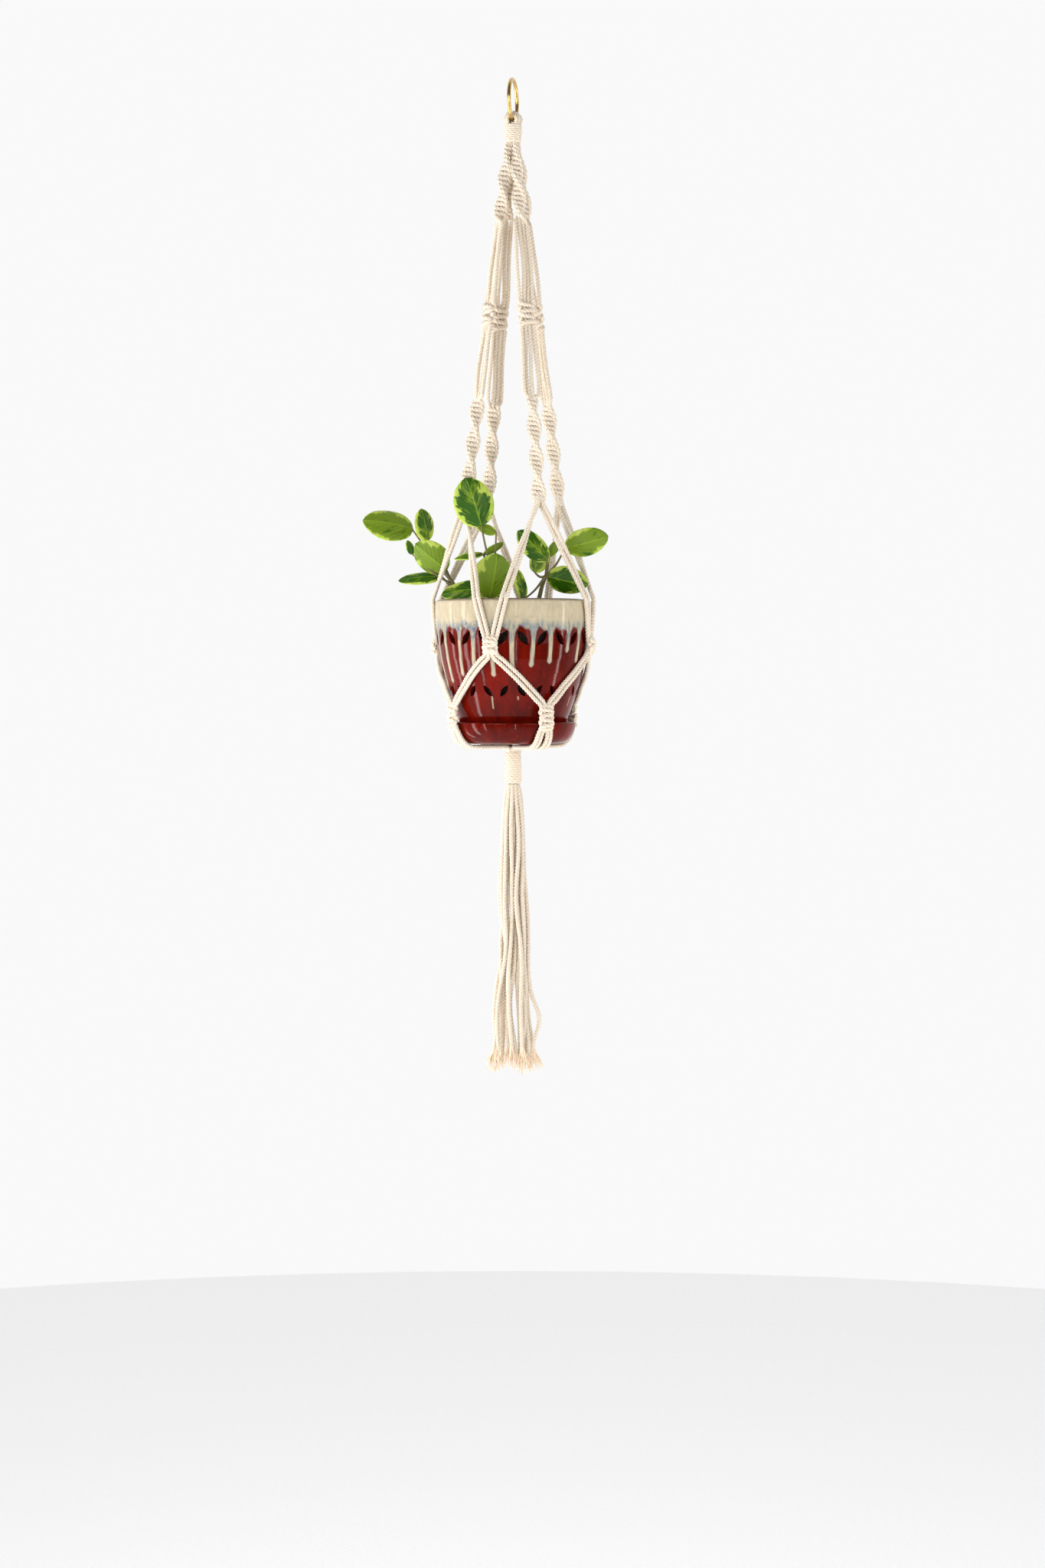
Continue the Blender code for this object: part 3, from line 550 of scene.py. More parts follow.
def leaf_material(name, margin, flecks):
    """A waxy variegated leaf: a green middle that breaks into a pale margin."""
    plant = bpy.context.scene.planter_plant
    made = Nodes(name)
    uv = made.add("ShaderNodeUVMap", uv_map="leaf").outputs["UV"]
    split = made.add("ShaderNodeSeparateXYZ", {"Vector": uv})
    u, v = split.outputs["X"], split.outputs["Y"]
    edge = made.maths("ABSOLUTE", made.maths("MULTIPLY_ADD", v, 2.0, -1.0))
    sweep_up = made.maths("MULTIPLY_ADD", edge, -0.5, u)
    vein_at = made.add(
        "ShaderNodeCombineXYZ",
        {"X": made.maths("MULTIPLY", sweep_up, 9.0), "Y": made.maths("MULTIPLY", v, 3.2)},
    ).outputs["Vector"]
    place = object_point(made)
    patch = made.noise(46.0, 3.0, place)
    streak = made.noise(1.0, 4.0, vein_at, 0.6)
    spread = made.maths("MULTIPLY_ADD", patch, 1.25, made.maths("MULTIPLY", streak, 0.75))
    pale_at = made.maths("ADD", made.maths("MULTIPLY", edge, 0.62), spread)
    pale = made.ramp(pale_at, margin, margin + 0.10)
    lime = made.ramp(made.maths("MULTIPLY_ADD", streak, 1.0, patch), flecks, flecks + 0.2)
    green = made.mix(lime, rgba(plant.green), rgba(plant.lime, 0.75))
    yellow = made.mix(made.ramp(streak, 0.35, 0.7), rgba(plant.pale), rgba(plant.lime, 1.5))
    base = made.mix(pale, green, yellow)
    rib = made.ramp(edge, 0.0, 0.07)
    base = made.mix(rib, made.mix(0.45, base, rgba(plant.lime, 1.6)), base)
    made.into("Base Color", base)
    made.into("Roughness", made.maths("MULTIPLY_ADD", streak, 0.15, 0.24))
    made.into("IOR", 1.3)
    made.into("Subsurface Weight", 0.12)
    made.into("Subsurface Radius", (0.003, 0.005, 0.001))
    made.into("Subsurface Scale", 0.4)
    wave = made.maths("SINE", made.maths("MULTIPLY", sweep_up, 44.0))
    made.bump(made.maths("MULTIPLY_ADD", wave, 0.5, made.noise(500.0, 2.0, place)), 0.25 * MM, 0.6)
    return made.material


def plain_material(name, base, roughness):
    made = Nodes(name)
    grain = made.noise(160.0, 3.0, object_point(made))
    made.into("Base Color", made.mix(grain, rgba(base, 0.8), rgba(base, 1.2)))
    made.into("Roughness", made.maths("MULTIPLY_ADD", grain, 0.1, roughness))
    return made.material


def cotton():
    """The one cotton that every cord has."""
    return bpy.data.materials.get("cotton") or cotton_material()


# ---------------------------------------------------------------- cord building
def soften(path, step, spread):
    """Rounds a dense path off, its ends kept."""
    path = resample(np.array(path), step)
    reach = int(3 * spread / step)
    window = np.exp(-0.5 * (np.arange(-reach, reach + 1) * step / spread) ** 2)
    window /= window.sum()
    before = 2 * path[0] - path[1 : reach + 1][::-1]
    after = 2 * path[-1] - path[-reach - 1 : -1][::-1]
    padded = np.vstack([before, path, after])
    return np.stack([np.convolve(padded[:, k], window, "valid") for k in range(3)], axis=1)


def dense(points, count=60):
    """Straight steps between the points."""
    points = np.array(points, float)
    along = measure(points)
    at = np.linspace(0.0, along[-1], count)
    return np.stack([np.interp(at, along, points[:, k]) for k in range(3)], axis=1)


def radius_at(path, marks):
    """A cord's radius down its path, read between (height, radius) marks."""
    marks = sorted(marks)
    heights = [z for z, _ in marks]
    values = [r for _, r in marks]
    return np.interp(path[:, 2], heights, values)


def arm_knot(azimuth, top, end, count, half_width, half_depth, lobe=None, square=False):
    """The two working cords of a knotted length of an arm."""
    turn_drop = bpy.context.scene.planter_cord.sinnet_half_turn

    def centre(share):
        return arm_point(azimuth, top + (end - top) * share)

    def turned(share):
        z = top + (end - top) * share
        return math.pi * (lobe - z) / turn_drop

    def wide(share):
        if lobe is None:
            return around(azimuth)
        a = turned(share)
        fit = min(1.0, max(0.55, 0.92 * math.hypot(*centre(share)[:2]) / (8.5 * MM)))
        return np.array((math.cos(a), math.sin(a), 0.0)) * fit

    def deep(share):
        if lobe is None:
            return outward(azimuth)
        a = turned(share)
        return np.array((math.sin(a), -math.cos(a), 0.0))

    return knot_paths(centre, wide, deep, count, half_width, half_depth, square)


def arm_run(azimuth, top, end, offset, sway, first, last):
    """One cord between two knots: leaves first, hangs at its own offset, meets last.

    sway says how far the cord bows aside and outwards, and then where the run parts
    into two groups: how far, beside which cord, and how low.
    """
    aside, outwards, gap, beside, low = sway
    points = [first]
    for share in (0.08, 0.2, 0.35, 0.5, 0.65, 0.8, 0.92):
        z = top + (end - top) * share
        swell = math.sin(math.pi * share)
        part = gap * math.copysign(1.0, offset - beside) * math.exp(-(((share - low) / 0.3) ** 2))
        spot = arm_point(azimuth, z) + around(azimuth) * (offset + aside * swell + part)
        points.append(spot + outward(azimuth) * outwards * swell)
    points.append(last)
    return dense(points, 90)


def arm_cords(k, rng):
    """The four cords of arm k from the top wrap to the arm's end."""
    azimuth = ARMS[k]
    upper_lobe = (-88.6, -92.0, -108.0, -99.7)[k] * MM
    lower_lobe = (-363.0, -384.0, -379.0, -378.0)[k] * MM
    bar = bpy.context.scene.planter_cord.bar_step
    radius = bpy.context.scene.planter_cord.diameter / 2
    upper_count = round((ARM_TOP - UPPER_END) / bar)
    lower_count = round((LOWER_TOP - ARM_END) / bar)
    upper = arm_knot(azimuth, ARM_TOP, UPPER_END, upper_count, 6.0 * MM, 2.0 * MM, upper_lobe)
    middle = arm_knot(azimuth, *MID_KNOT, 4, 7.4 * MM, 3.1 * MM, square=True)
    lower = arm_knot(azimuth, LOWER_TOP, ARM_END, lower_count, 5.9 * MM, 1.9 * MM, lower_lobe)
    cords = []
    inside = polar(4.2 * MM, azimuth, -56.0 * MM)
    pitch = 4.75 * MM
    # Both runs part at a place of their own, which their four cords share.
    parting = []
    for _ in range(2):
        side = rng.choice((-1.0, 0.0, 1.0)) * pitch
        parting.append((rng.uniform(1.4, 2.3) * MM, side, rng.uniform(0.55, 0.85)))
    for worker in range(2):
        side = (-1.0, 1.0)[worker]
        offset = side * 1.5 * pitch
        sway = [(rng.uniform(-0.9, 0.9) * MM, rng.uniform(-2.6, 2.6) * MM, *p) for p in parting]
        start = inside + around(azimuth) * side * 1.5 * MM
        ends_right = side if upper_count % 2 == 0 else -side
        # A worker may leave a knot on the other side from the one it came in on.
        leave = worker if ends_right == side else 1 - worker
        near, mid, far = upper[leave], middle[worker], lower[worker]
        tuck = arm_point(azimuth, ARM_END + 1.0 * MM) + around(azimuth) * side * 1.2 * MM
        pieces = [
            dense([start, near[0]], 20),
            near,
            arm_run(azimuth, UPPER_END, MID_KNOT[0], offset, sway[0], near[-1], mid[0]),
            mid,
            arm_run(azimuth, MID_KNOT[1], LOWER_TOP, offset, sway[1], mid[-1], far[0]),
            far,
            dense([far[-1], tuck], 10),
        ]
        path = soften(np.vstack(pieces), 0.9 * MM, 1.25 * MM)
        tight = radius * 1.06
        marks = [(-50 * MM, radius * 0.7), (-70 * MM, radius * 0.8), (-95 * MM, tight)]
        marks += [(UPPER_END, tight), (UPPER_END - 5 * MM, radius), (MID_KNOT[0] + 4 * MM, radius)]
        marks += [(height, tight * 1.1) for height in MID_KNOT]
        marks += [(MID_KNOT[1] - 4 * MM, radius)]
        marks += [(LOWER_TOP + 4 * MM, radius), (LOWER_TOP, tight), (ARM_END, tight)]
        cords.append((path, radius_at(path, marks)))
    for filler in range(2):
        side = (-1.0, 1.0)[filler]
        offset = side * 0.5 * pitch
        sway = [(rng.uniform(-0.9, 0.9) * MM, rng.uniform(-2.6, 2.6) * MM, *p) for p in parting]
        start = inside + around(azimuth) * side * 0.8 * MM - outward(azimuth) * 1.5 * MM
        top = [arm_point(azimuth, z) for z in (ARM_TOP, UPPER_END + 2 * MM)]
        mid = [arm_point(azimuth, z) + around(azimuth) * side * 1.8 * MM for z in MID_KNOT]
        low = [arm_point(azimuth, z) for z in (LOWER_TOP - 2 * MM, ARM_END + 2 * MM)]
        pieces = [
            dense([start, *top], 80),
            arm_run(azimuth, UPPER_END, MID_KNOT[0], offset, sway[0], top[1], mid[0]),
            arm_run(azimuth, MID_KNOT[1], LOWER_TOP, offset, sway[1], mid[1], low[0]),
            dense(low, 80),
        ]
        path = soften(np.vstack(pieces), 1.4 * MM, 2.5 * MM)
        thin = radius * 0.72
        marks = [(-50 * MM, thin), (UPPER_END, thin), (UPPER_END - 6 * MM, radius)]
        marks += [(MID_KNOT[0] + 3 * MM, radius), (MID_KNOT[0] - 2 * MM, thin * 1.2)]
        marks += [(MID_KNOT[1] + 2 * MM, thin * 1.2), (MID_KNOT[1] - 3 * MM, radius)]
        marks += [(LOWER_TOP + 4 * MM, radius), (LOWER_TOP - 3 * MM, thin), (ARM_END, thin)]
        cords.append((path, radius_at(path, marks)))
    return cords


def wall_directions(path):
    """At each point of a path on the pot: outwards, and along the wall across the path."""
    for k, point in enumerate(path):
        ahead = path[min(k + 1, len(path) - 1)] - path[max(k - 1, 0)]
        out = unit(np.array((point[0], point[1], 0.0)))
        yield out, unit(np.cross(out, ahead))


def pair(path, across, spread):
    """Two cords side by side along a path, as point lists."""
    aside = np.array(across) * spread[:, None]
    return [np.array(path) - aside, np.array(path) + aside]


def net_upper(azimuth, side):
    """The pair of cords from an arm's end over the rim to a joining knot."""
    aside = around(azimuth) * side * 2.7 * MM
    hidden = arm_point(azimuth, ARM_END + 9 * MM) + aside * 0.5
    start = arm_point(azimuth, ARM_END - 3 * MM) + aside
    rim_z = RIM_Z + 0.2 * MM
    widest = RIM_Z - 0.08 * bpy.context.scene.planter_pot.height
    rim = polar(leg_radius(widest), azimuth + side * 35.0, rim_z)
    path = [hidden, start]
    path += [start + (rim - start) * share for share in (0.15, 0.3, 0.45, 0.6, 0.8, 0.92, 1.0)]
    aside_turn = math.degrees(PAIR_ASIDE / leg_radius(JOIN_Z))
    end_az = azimuth + side * 45.0 - side * aside_turn
    end_z = JOIN_Z + JOIN_HALF + 3 * MM
    for share in (0.12, 0.25, 0.4, 0.55, 0.7, 0.85, 1.0):
        z = rim_z + (end_z - rim_z) * share
        swing = azimuth + side * 35.0
        swing += (end_az - swing) * share
        path.append(polar(leg_radius(z), swing, z))
    inner_az = azimuth + side * 45.0 - side * aside_turn * 0.6
    path.append(polar(leg_radius(JOIN_Z) + 1 * MM, inner_az, JOIN_Z + 2.0 * MM))
    across = []
    for k, (out, flat) in enumerate(wall_directions(path)):
        share = min(1.0, max(0.0, (k - 1) / 5.0))
        across.append(unit(out * (1 - share) + flat * side * share))
    spread = np.full(len(path), 2.55 * MM)
    spread[0], spread[-2], spread[-1] = 1.4 * MM, 2.3 * MM, 1.7 * MM
    return pair(path, across, spread)


def net_lower(azimuth, side):
    """The pair of cords from a joining knot down the pot to the next base knot."""
    aside_turn = math.degrees(PAIR_ASIDE / leg_radius(JOIN_Z))
    start_az = azimuth + side * aside_turn
    end_az = azimuth + side * (45.0 - math.degrees(4.9 * MM / BASE_R))
    start_z = JOIN_Z - JOIN_HALF - 3 * MM
    end_z = BASE_TOP + 3 * MM
    path = [polar(leg_radius(JOIN_Z) + 1 * MM, azimuth + side * aside_turn * 0.6, JOIN_Z - 2 * MM)]
    for share in np.linspace(0.0, 1.0, 11):
        z = start_z + (end_z - start_z) * share
        path.append(polar(leg_radius(z), start_az + (end_az - start_az) * share, z))
    path.append(polar(BASE_R, azimuth + side * 42.6, BASE_TOP - 4 * MM))
    across = [flat for _, flat in wall_directions(path)]
    spread = np.full(len(path), 2.5 * MM)
    spread[0], spread[1], spread[-2], spread[-1] = 1.7 * MM, 2.3 * MM, 2.2 * MM, 1.7 * MM
    return pair(path, across, spread)


def net_under(azimuth, slot):
    """One of four cords from a base knot round the saucer to the middle below it."""
    stand = EASE + 2.5 * MM
    path = [polar(BASE_R, azimuth, BASE_END + 4 * MM)]
    path.append(polar(SAUCER_R + stand, azimuth, BASE_END - 0.3 * MM))
    for share in (0.3, 0.45, 0.6, 0.75, 0.9, 1.0):
        radius, z = saucer_side(share)
        slope = math.pi / 2 * min(1.0, max(0.0, (share - 0.2) / 0.8))
        path.append(polar(radius + stand * math.cos(slope), azimuth, z - stand * math.sin(slope)))
    rest = math.hypot(*path[-1][:2])
    level = SAUCER_END - stand
    for reach in (0.35, 0.7, 1.0):
        path.append(polar(rest + (11.0 * MM - rest) * reach, azimuth, level))
    path.append(polar(7.0 * MM, azimuth, level - 1.5 * MM))
    path.append(polar(5.2 * MM, azimuth, level - 5.0 * MM))
    path.append(polar(5.0 * MM, azimuth, level - 10.0 * MM))
    offset = (slot - 1.5) * 4.7 * MM
    places = np.arange(len(path))
    narrow = np.interp(places, (0, 1, 8, 10, 12, 13), (0.75, 0.85, 1.0, 0.62, 0.5, 0.5))
    parted = np.interp(places, (1, 3, 7, 9), (0.0, 1.0, 1.3, 0.0)) * math.copysign(1.5 * MM, slot - 1.5)
    return [p + around(azimuth) * (offset * n + q) for p, n, q in zip(path, narrow, parted)]


def square_knot(middle, across, out, width, height, thick, count):
    """The working cords of a tight flat knot, and two fillers inside it."""
    down = np.cross(across, out)
    down = down if down[2] < 0 else -down
    radius = 2.45 * MM

    def centre(share):
        return middle + down * height * (share - 0.5)

    paths = knot_paths(
        centre,
        lambda share: across,
        lambda share: out,
        count,
        width / 2 - radius,
        thick / 2 - radius,
        True,
    )
    parts = []
    for k, path in enumerate(paths):
        path = np.vstack([dense([centre(-0.12), path[0]], 6), path, dense([path[-1], centre(1.1)], 6)])
        path = soften(path, 0.8 * MM, 0.9 * MM)
        parts.append(tube(path, radius, 15 * MM, phase=1.1 * k))
    for side in (-1, 1):
        ends = [centre(-0.05) + across * side * 2.2 * MM, centre(1.05) + across * side * 2.2 * MM]
        parts.append(tube(dense(ends, 12), 1.9 * MM, 15 * MM, sides=8))
    return parts


def coil(top, end, radii, thickness, pitch):
    """The path of a cord wound round a bundle; radii are (share, outer radius) marks."""
    turns = (top - end) / pitch
    t = np.linspace(0.0, 1.0, int(turns * 40))
    angle = 2 * math.pi * turns * t
    reach = np.interp(t, [s for s, _ in radii], [r for _, r in radii]) - thickness
    z = top - thickness + (end - top + 2 * thickness) * t
    return np.stack([reach * np.cos(angle), reach * np.sin(angle), z], axis=1)


# ---------------------------------------------------------------- operators
class PieceOperator:
    """What every operator that makes pieces shares."""

    bl_options = {"REGISTER", "UNDO"}

    def execute(self, context):
        self.make(context.scene)
        return {"FINISHED"}


class PLANTER_OT_stage(PieceOperator, bpy.types.Operator):
    """Add the camera, the lights and the floor"""

    bl_idname = "planter.stage"
    bl_label = "Stage"

    def make(self, scene):
        sizes = scene.planter_stage
        camera = self.add_camera(scene, sizes)
        self.add_world(scene, sizes)
        lamps = self.add_lamps(scene)
        floor = self.add_floor(scene)
        scene.view_settings.view_transform = "Standard"

    def add_camera(self, scene, sizes):
        eye = bpy.data.cameras.new("camera")
        eye.lens = sizes.lens
        eye.clip_end = 50.0
        camera = bpy.data.objects.new("camera", eye)
        scene.collection.objects.link(camera)
        camera.location = (0.010, -sizes.distance, sizes.eye)
        aim = Vector((0.010, 0.0, sizes.aim))
        camera.rotation_euler = (aim - camera.location).to_track_quat("-Z", "Y").to_euler()
        scene.camera = camera
        return camera

    def add_world(self, scene, sizes):
        """A pale backdrop that darkens towards the camera's side."""
        world = bpy.data.worlds.new("studio")
        scene.world = world
        world.use_nodes = True
        tree = world.node_tree
        background = tree.nodes["Background"]
        place = tree.nodes.new("ShaderNodeTexCoord")
        split = tree.nodes.new("ShaderNodeSeparateXYZ")
        tree.links.new(place.outputs["Generated"], split.inputs["Vector"])
        behind = tree.nodes.new("ShaderNodeMapRange")
        behind.interpolation_type = "SMOOTHSTEP"
        tree.links.new(split.outputs["Y"], behind.inputs["Value"])
        behind.inputs["From Min"].default_value = -0.35
        behind.inputs["From Max"].default_value = 0.45
        blend = tree.nodes.new("ShaderNodeMix")
        blend.data_type = "RGBA"
        tree.links.new(behind.outputs["Result"], blend.inputs[0])
        blend.inputs[6].default_value = rgba(sizes.backdrop, 0.17)
        blend.inputs[7].default_value = rgba(sizes.backdrop)
        tree.links.new(blend.outputs[2], background.inputs["Color"])
        background.inputs["Strength"].default_value = 1.0

    def add_lamps(self, scene):
        """Two soft lamps from the front, and narrow ones that the glaze mirrors."""
        lamps = (
            ("key", (-1.2, -2.2, -0.25), (1.5, 1.5), 26.0),
            ("fill", (1.5, -2.1, -0.30), (1.5, 1.5), 16.0),
            ("left_window", (-1.45, -0.35, -0.95), (0.16, 2.1), 13.0),
            ("right_window", (1.45, -0.30, -0.95), (0.10, 2.1), 9.0),
            ("front_slit", (0.22, -2.6, -1.2), (0.05, 1.7), 5.0),
            ("left_slit", (-1.9, -1.4, -1.1), (0.09, 1.8), 8.0),
            ("left_edge", (-1.5, 0.35, -0.95), (0.12, 2.1), 7.0),
        )
        made = []
        for name, place, size, power in lamps:
            data = bpy.data.lights.new(name, "AREA")
            data.shape = "RECTANGLE"
            data.size, data.size_y = size
            data.energy = power
            lamp = bpy.data.objects.new(name, data)
            scene.collection.objects.link(lamp)
            lamp.location = place
            aim_z = place[2] if "window" in name or "slit" in name else -0.55
            towards = Vector((0.0, 0.0, aim_z)) - lamp.location
            lamp.rotation_euler = towards.to_track_quat("-Z", "Y").to_euler()
            made.append(lamp)
        return made

    def add_floor(self, scene):
        mesh = bpy.data.meshes.new("floor")
        body = bmesh.new()
        bmesh.ops.create_circle(body, cap_ends=True, segments=96, radius=4.0)
        body.to_mesh(mesh)
        body.free()
        floor = bpy.data.objects.new("floor", mesh)
        floor.location = (0.0, 0.0, -2.1)
        scene.collection.objects.link(floor)
        pale = plain_material("floor", (0.86, 0.86, 0.86), 0.7)
        shader = pale.node_tree.nodes["Principled BSDF"]
        shader.inputs["Emission Color"].default_value = (1.0, 1.0, 1.0, 1.0)
        shader.inputs["Emission Strength"].default_value = 0.34
        mesh.materials.append(pale)
        return floor


class PLANTER_OT_tassel(PieceOperator, bpy.types.Operator):
    """Add the tassel's sixteen free cords with their frayed ends"""

    bl_idname = "planter.tassel"
    bl_label = "Tassel"

    def make(self, scene):
        sizes = scene.planter_cord
        rng = random.Random(7)
        profile = ((0.0, 5.6), (0.04, 7.6), (0.10, 9.9), (0.44, 13.3), (0.64, 15.0), (0.85, 18.6))
        profile += ((1.0, 21.0),)
        shares = [s for s, _ in profile]
        reaches = [r * MM for _, r in profile]
        loose = yarn_material()
        for k, points in enumerate(self.bundle(rng, shares, reaches)):
            path = smooth_path(points, sizes.step)
            radii = np.full(len(path), sizes.diameter / 2)
            radii[0] *= 0.92
            part = [tube(path, radii, sizes.lay, phase=rng.uniform(0, 6))]
            item = build(f"tassel_cord_{k + 1:02d}", part, cotton())
            self.hang(item)
            tufts = self.fray(path, rng)
            tips = build(f"tassel_fray_{k + 1:02d}", tufts, loose)
            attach(tips, "tassel_bundle")
            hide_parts("tassel")

    def bundle(self, rng, shares, reaches):
        """Sixteen cords that sway, crowd together and press each other apart."""
        levels = np.linspace(0.0, 1.0, 44)
        limit = np.interp(levels, shares, reaches)
        wider = 1 + 0.12 * ease(levels, 0.03, 0.3)
        spots = np.zeros((TASSEL_CORDS, len(levels), 2))
        for k in range(TASSEL_CORDS):
            outer = k < OUTER_CORDS
            if outer:
                turn = 2 * math.pi * k / OUTER_CORDS
            else:
                turn = math.pi * (1.0 + (k - OUTER_CORDS + 0.5) / (TASSEL_CORDS - OUTER_CORDS))
            inward = rng.uniform(0.78, 1.0) if outer else rng.uniform(0.5, 0.66)
            waves = [(rng.uniform(2, 7), rng.uniform(0, 6), rng.uniform(0.5, 1)) for _ in range(4)]
            sway_x = sum(size * np.sin(speed * levels * 2.4 + at) for speed, at, size in waves[:2])
            sway_y = sum(size * np.sin(speed * levels * 2.4 + at) for speed, at, size in waves[2:])
            grown = ease(levels, 0.02, 0.4) * 2.7 * MM
            spots[k, :, 0] = limit * wider * inward * math.cos(turn) + sway_x * grown
            spots[k, :, 1] = limit * 0.78 * inward * math.sin(turn) + sway_y * grown
        anchor = spots[:, :1].copy()
        home = spots.copy()
        for _ in range(90):
            apart = spots[:, None] - spots[None]
            gap = np.linalg.norm(apart, axis=-1) + 1e-9
            push = np.clip(4.9 * MM - gap, 0.0, None) * (gap > 1e-6)
            spots = spots + 0.3 * (apart / gap[..., None] * push[..., None]).sum(axis=1)
            spots += 0.035 * (home - spots)
            reach = np.hypot(spots[..., 0] / wider, spots[..., 1] / 0.85)
            spots *= (np.minimum(reach, limit) / np.maximum(reach, 1e-9))[..., None]
            middle = (spots[:, :-2] + spots[:, 2:]) / 2
            spots[:, 1:-1] += 0.22 * (middle - spots[:, 1:-1])
            spots[:, :1] = anchor
        bowed = int(np.argmax(spots[:, 38, 0]))
        cords = []
        for k in range(TASSEL_CORDS):
            end = TASSEL_END - rng.uniform(-4.0, 6.0) * MM
            points = []
            for level, (x, y) in zip(levels, spots[k]):
                if k == bowed:
                    x += 9.0 * MM * math.exp(-(((level - 0.88) / 0.075) ** 2))
                points.append((x, y, TWRAP_END + (end - TWRAP_END) * level))
            cords.append(points)
        return cords

    def hang(self, item):
        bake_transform(item)
        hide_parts("tassel")

    def fray(self, path, rng):
        """Loose yarns that spread out of a cord's cut end."""
        end = path[-1]
        ahead = unit(path[-1] - path[-4])
        tufts = []
        away = np.array((end[0], end[1], 0.0)) * 0.26
        for _ in range(18):
            lean = np.array((rng.uniform(-1, 1), rng.uniform(-1, 1), 0.0))
            root = end - ahead * 4 * MM + lean * 1.2 * MM
            reach = rng.uniform(10, 24) * MM
            bend = lean * rng.uniform(1.0, 4.6) * MM + away * rng.uniform(0.2, 1.0)
            curl = np.array((rng.uniform(-1, 1), rng.uniform(-1, 1), 0.0)) * 1.6 * MM
            points = [root, root + ahead * reach * 0.5 + bend * 0.5]
            points.append(root + ahead * reach + bend + curl)
            line = smooth_path(points, 2.2 * MM)
            thin = np.linspace(0.95 * MM, 0.34 * MM, len(line))
            tufts.append(tube(line, thin, 60 * MM, sides=5, depth=0.1))
        return tufts


class PLANTER_OT_ring(PieceOperator, bpy.types.Operator):
    """Add the brass ring"""

    bl_idname = "planter.ring"
    bl_label = "Ring"

    def make(self, scene):
        bpy.ops.mesh.primitive_torus_add(
            major_radius=RING_R, minor_radius=2.0 * MM, major_segments=128, minor_segments=24
        )
        item = bpy.context.object
        item.name = "brass_ring"
        item.location = (0.0, 0.0, RING_Z)
        item.rotation_euler = (math.pi / 2, 0.0, math.radians(90.0) - RING_TURN)
        item.data.shade_smooth()
        item.data.materials.append(brass_material())
        bpy.context.view_layer.update()
        settle(item, "ring", ["hanging_ring"])


class PLANTER_OT_crown(PieceOperator, bpy.types.Operator):
    """Add the cords folded over the ring and the coil that binds them"""

    bl_idname = "planter.crown"
    bl_label = "Top Loops and Wrap"

    def make(self, scene):
        hinge = np.array((math.cos(RING_TURN), -math.sin(RING_TURN), 0.0))
        wire = np.array((math.sin(RING_TURN), math.cos(RING_TURN), 0.0))
        low = RING_Z - RING_R
        parts = []
        folds = [(d, 5.0, 2.25) for d in (-6.8, -2.3, 2.3, 6.8)]
        folds += [(d, 7.6, 2.1) for d in (-4.4, 0.0, 4.4)]
        for depth, reach, radius in folds:
            sag = 0.35 * abs(depth) / 6.8
            points = []
            for turn in np.linspace(0.0, math.pi, 13):
                spot = hinge * math.cos(turn) * reach * MM + wire * depth * MM
                spot[2] = low + (reach - sag) * math.sin(turn) * MM
                points.append(spot)
            tuck = min(1.0, 6.3 / math.hypot(reach, depth))
            for share, drop in ((0.5, 3.0), (1.0, 7.5), (1.0, 12.0)):
                fit = 1 + (tuck - 1) * share
                head = (hinge * reach + wire * depth) * MM * fit
                tail = (wire * depth - hinge * reach) * MM * fit
                head[2] = tail[2] = low - drop * MM
                points = [head, *points, tail]
            parts.append(cord(points, radius * MM))
        loops = build("top_cord_loops", parts, cotton())
        settle(loops, "crown", ["top_loops"])
        radii = ((0.0, 8.8 * MM), (0.12, 9.7 * MM), (0.5, 9.5 * MM), (1.0, 8.5 * MM))
        path = coil(WRAP_TOP, WRAP_END, radii, 1.45 * MM, 2.55 * MM)
        core = tube(dense([(0, 0, WRAP_TOP - 1 * MM), (0, 0, WRAP_END + 1 * MM)], 8), 7.4 * MM, 1.0)
        wrap = build("top_coil", [tube(path, 1.5 * MM, 16 * MM, sides=9, depth=0.12), core], cotton())
        settle(wrap, "crown", ["top_wrap"])


class PLANTER_OT_arms(PieceOperator, bpy.types.Operator):
    """Add the four knotted arms"""

    bl_idname = "planter.arms"
    bl_label = "Knotted Arms"

    def make(self, scene):
        rng = random.Random(3)
        lay = scene.planter_cord.lay
        for k in range(4):
            tag = "abcd"[k]
            parts = []
            for n, (path, radii) in enumerate(arm_cords(k, rng)):
                parts.append(tube(path, radii, lay, phase=1.3 * n + k))
            item = build(f"arm_{tag}", parts, cotton())
            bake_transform(item)
            names = ("upper_sinnet", "upper_run", "mid_knot", "lower_run", "lower_sinnet")
            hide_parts(*(f"{name}_{tag}" for name in names))


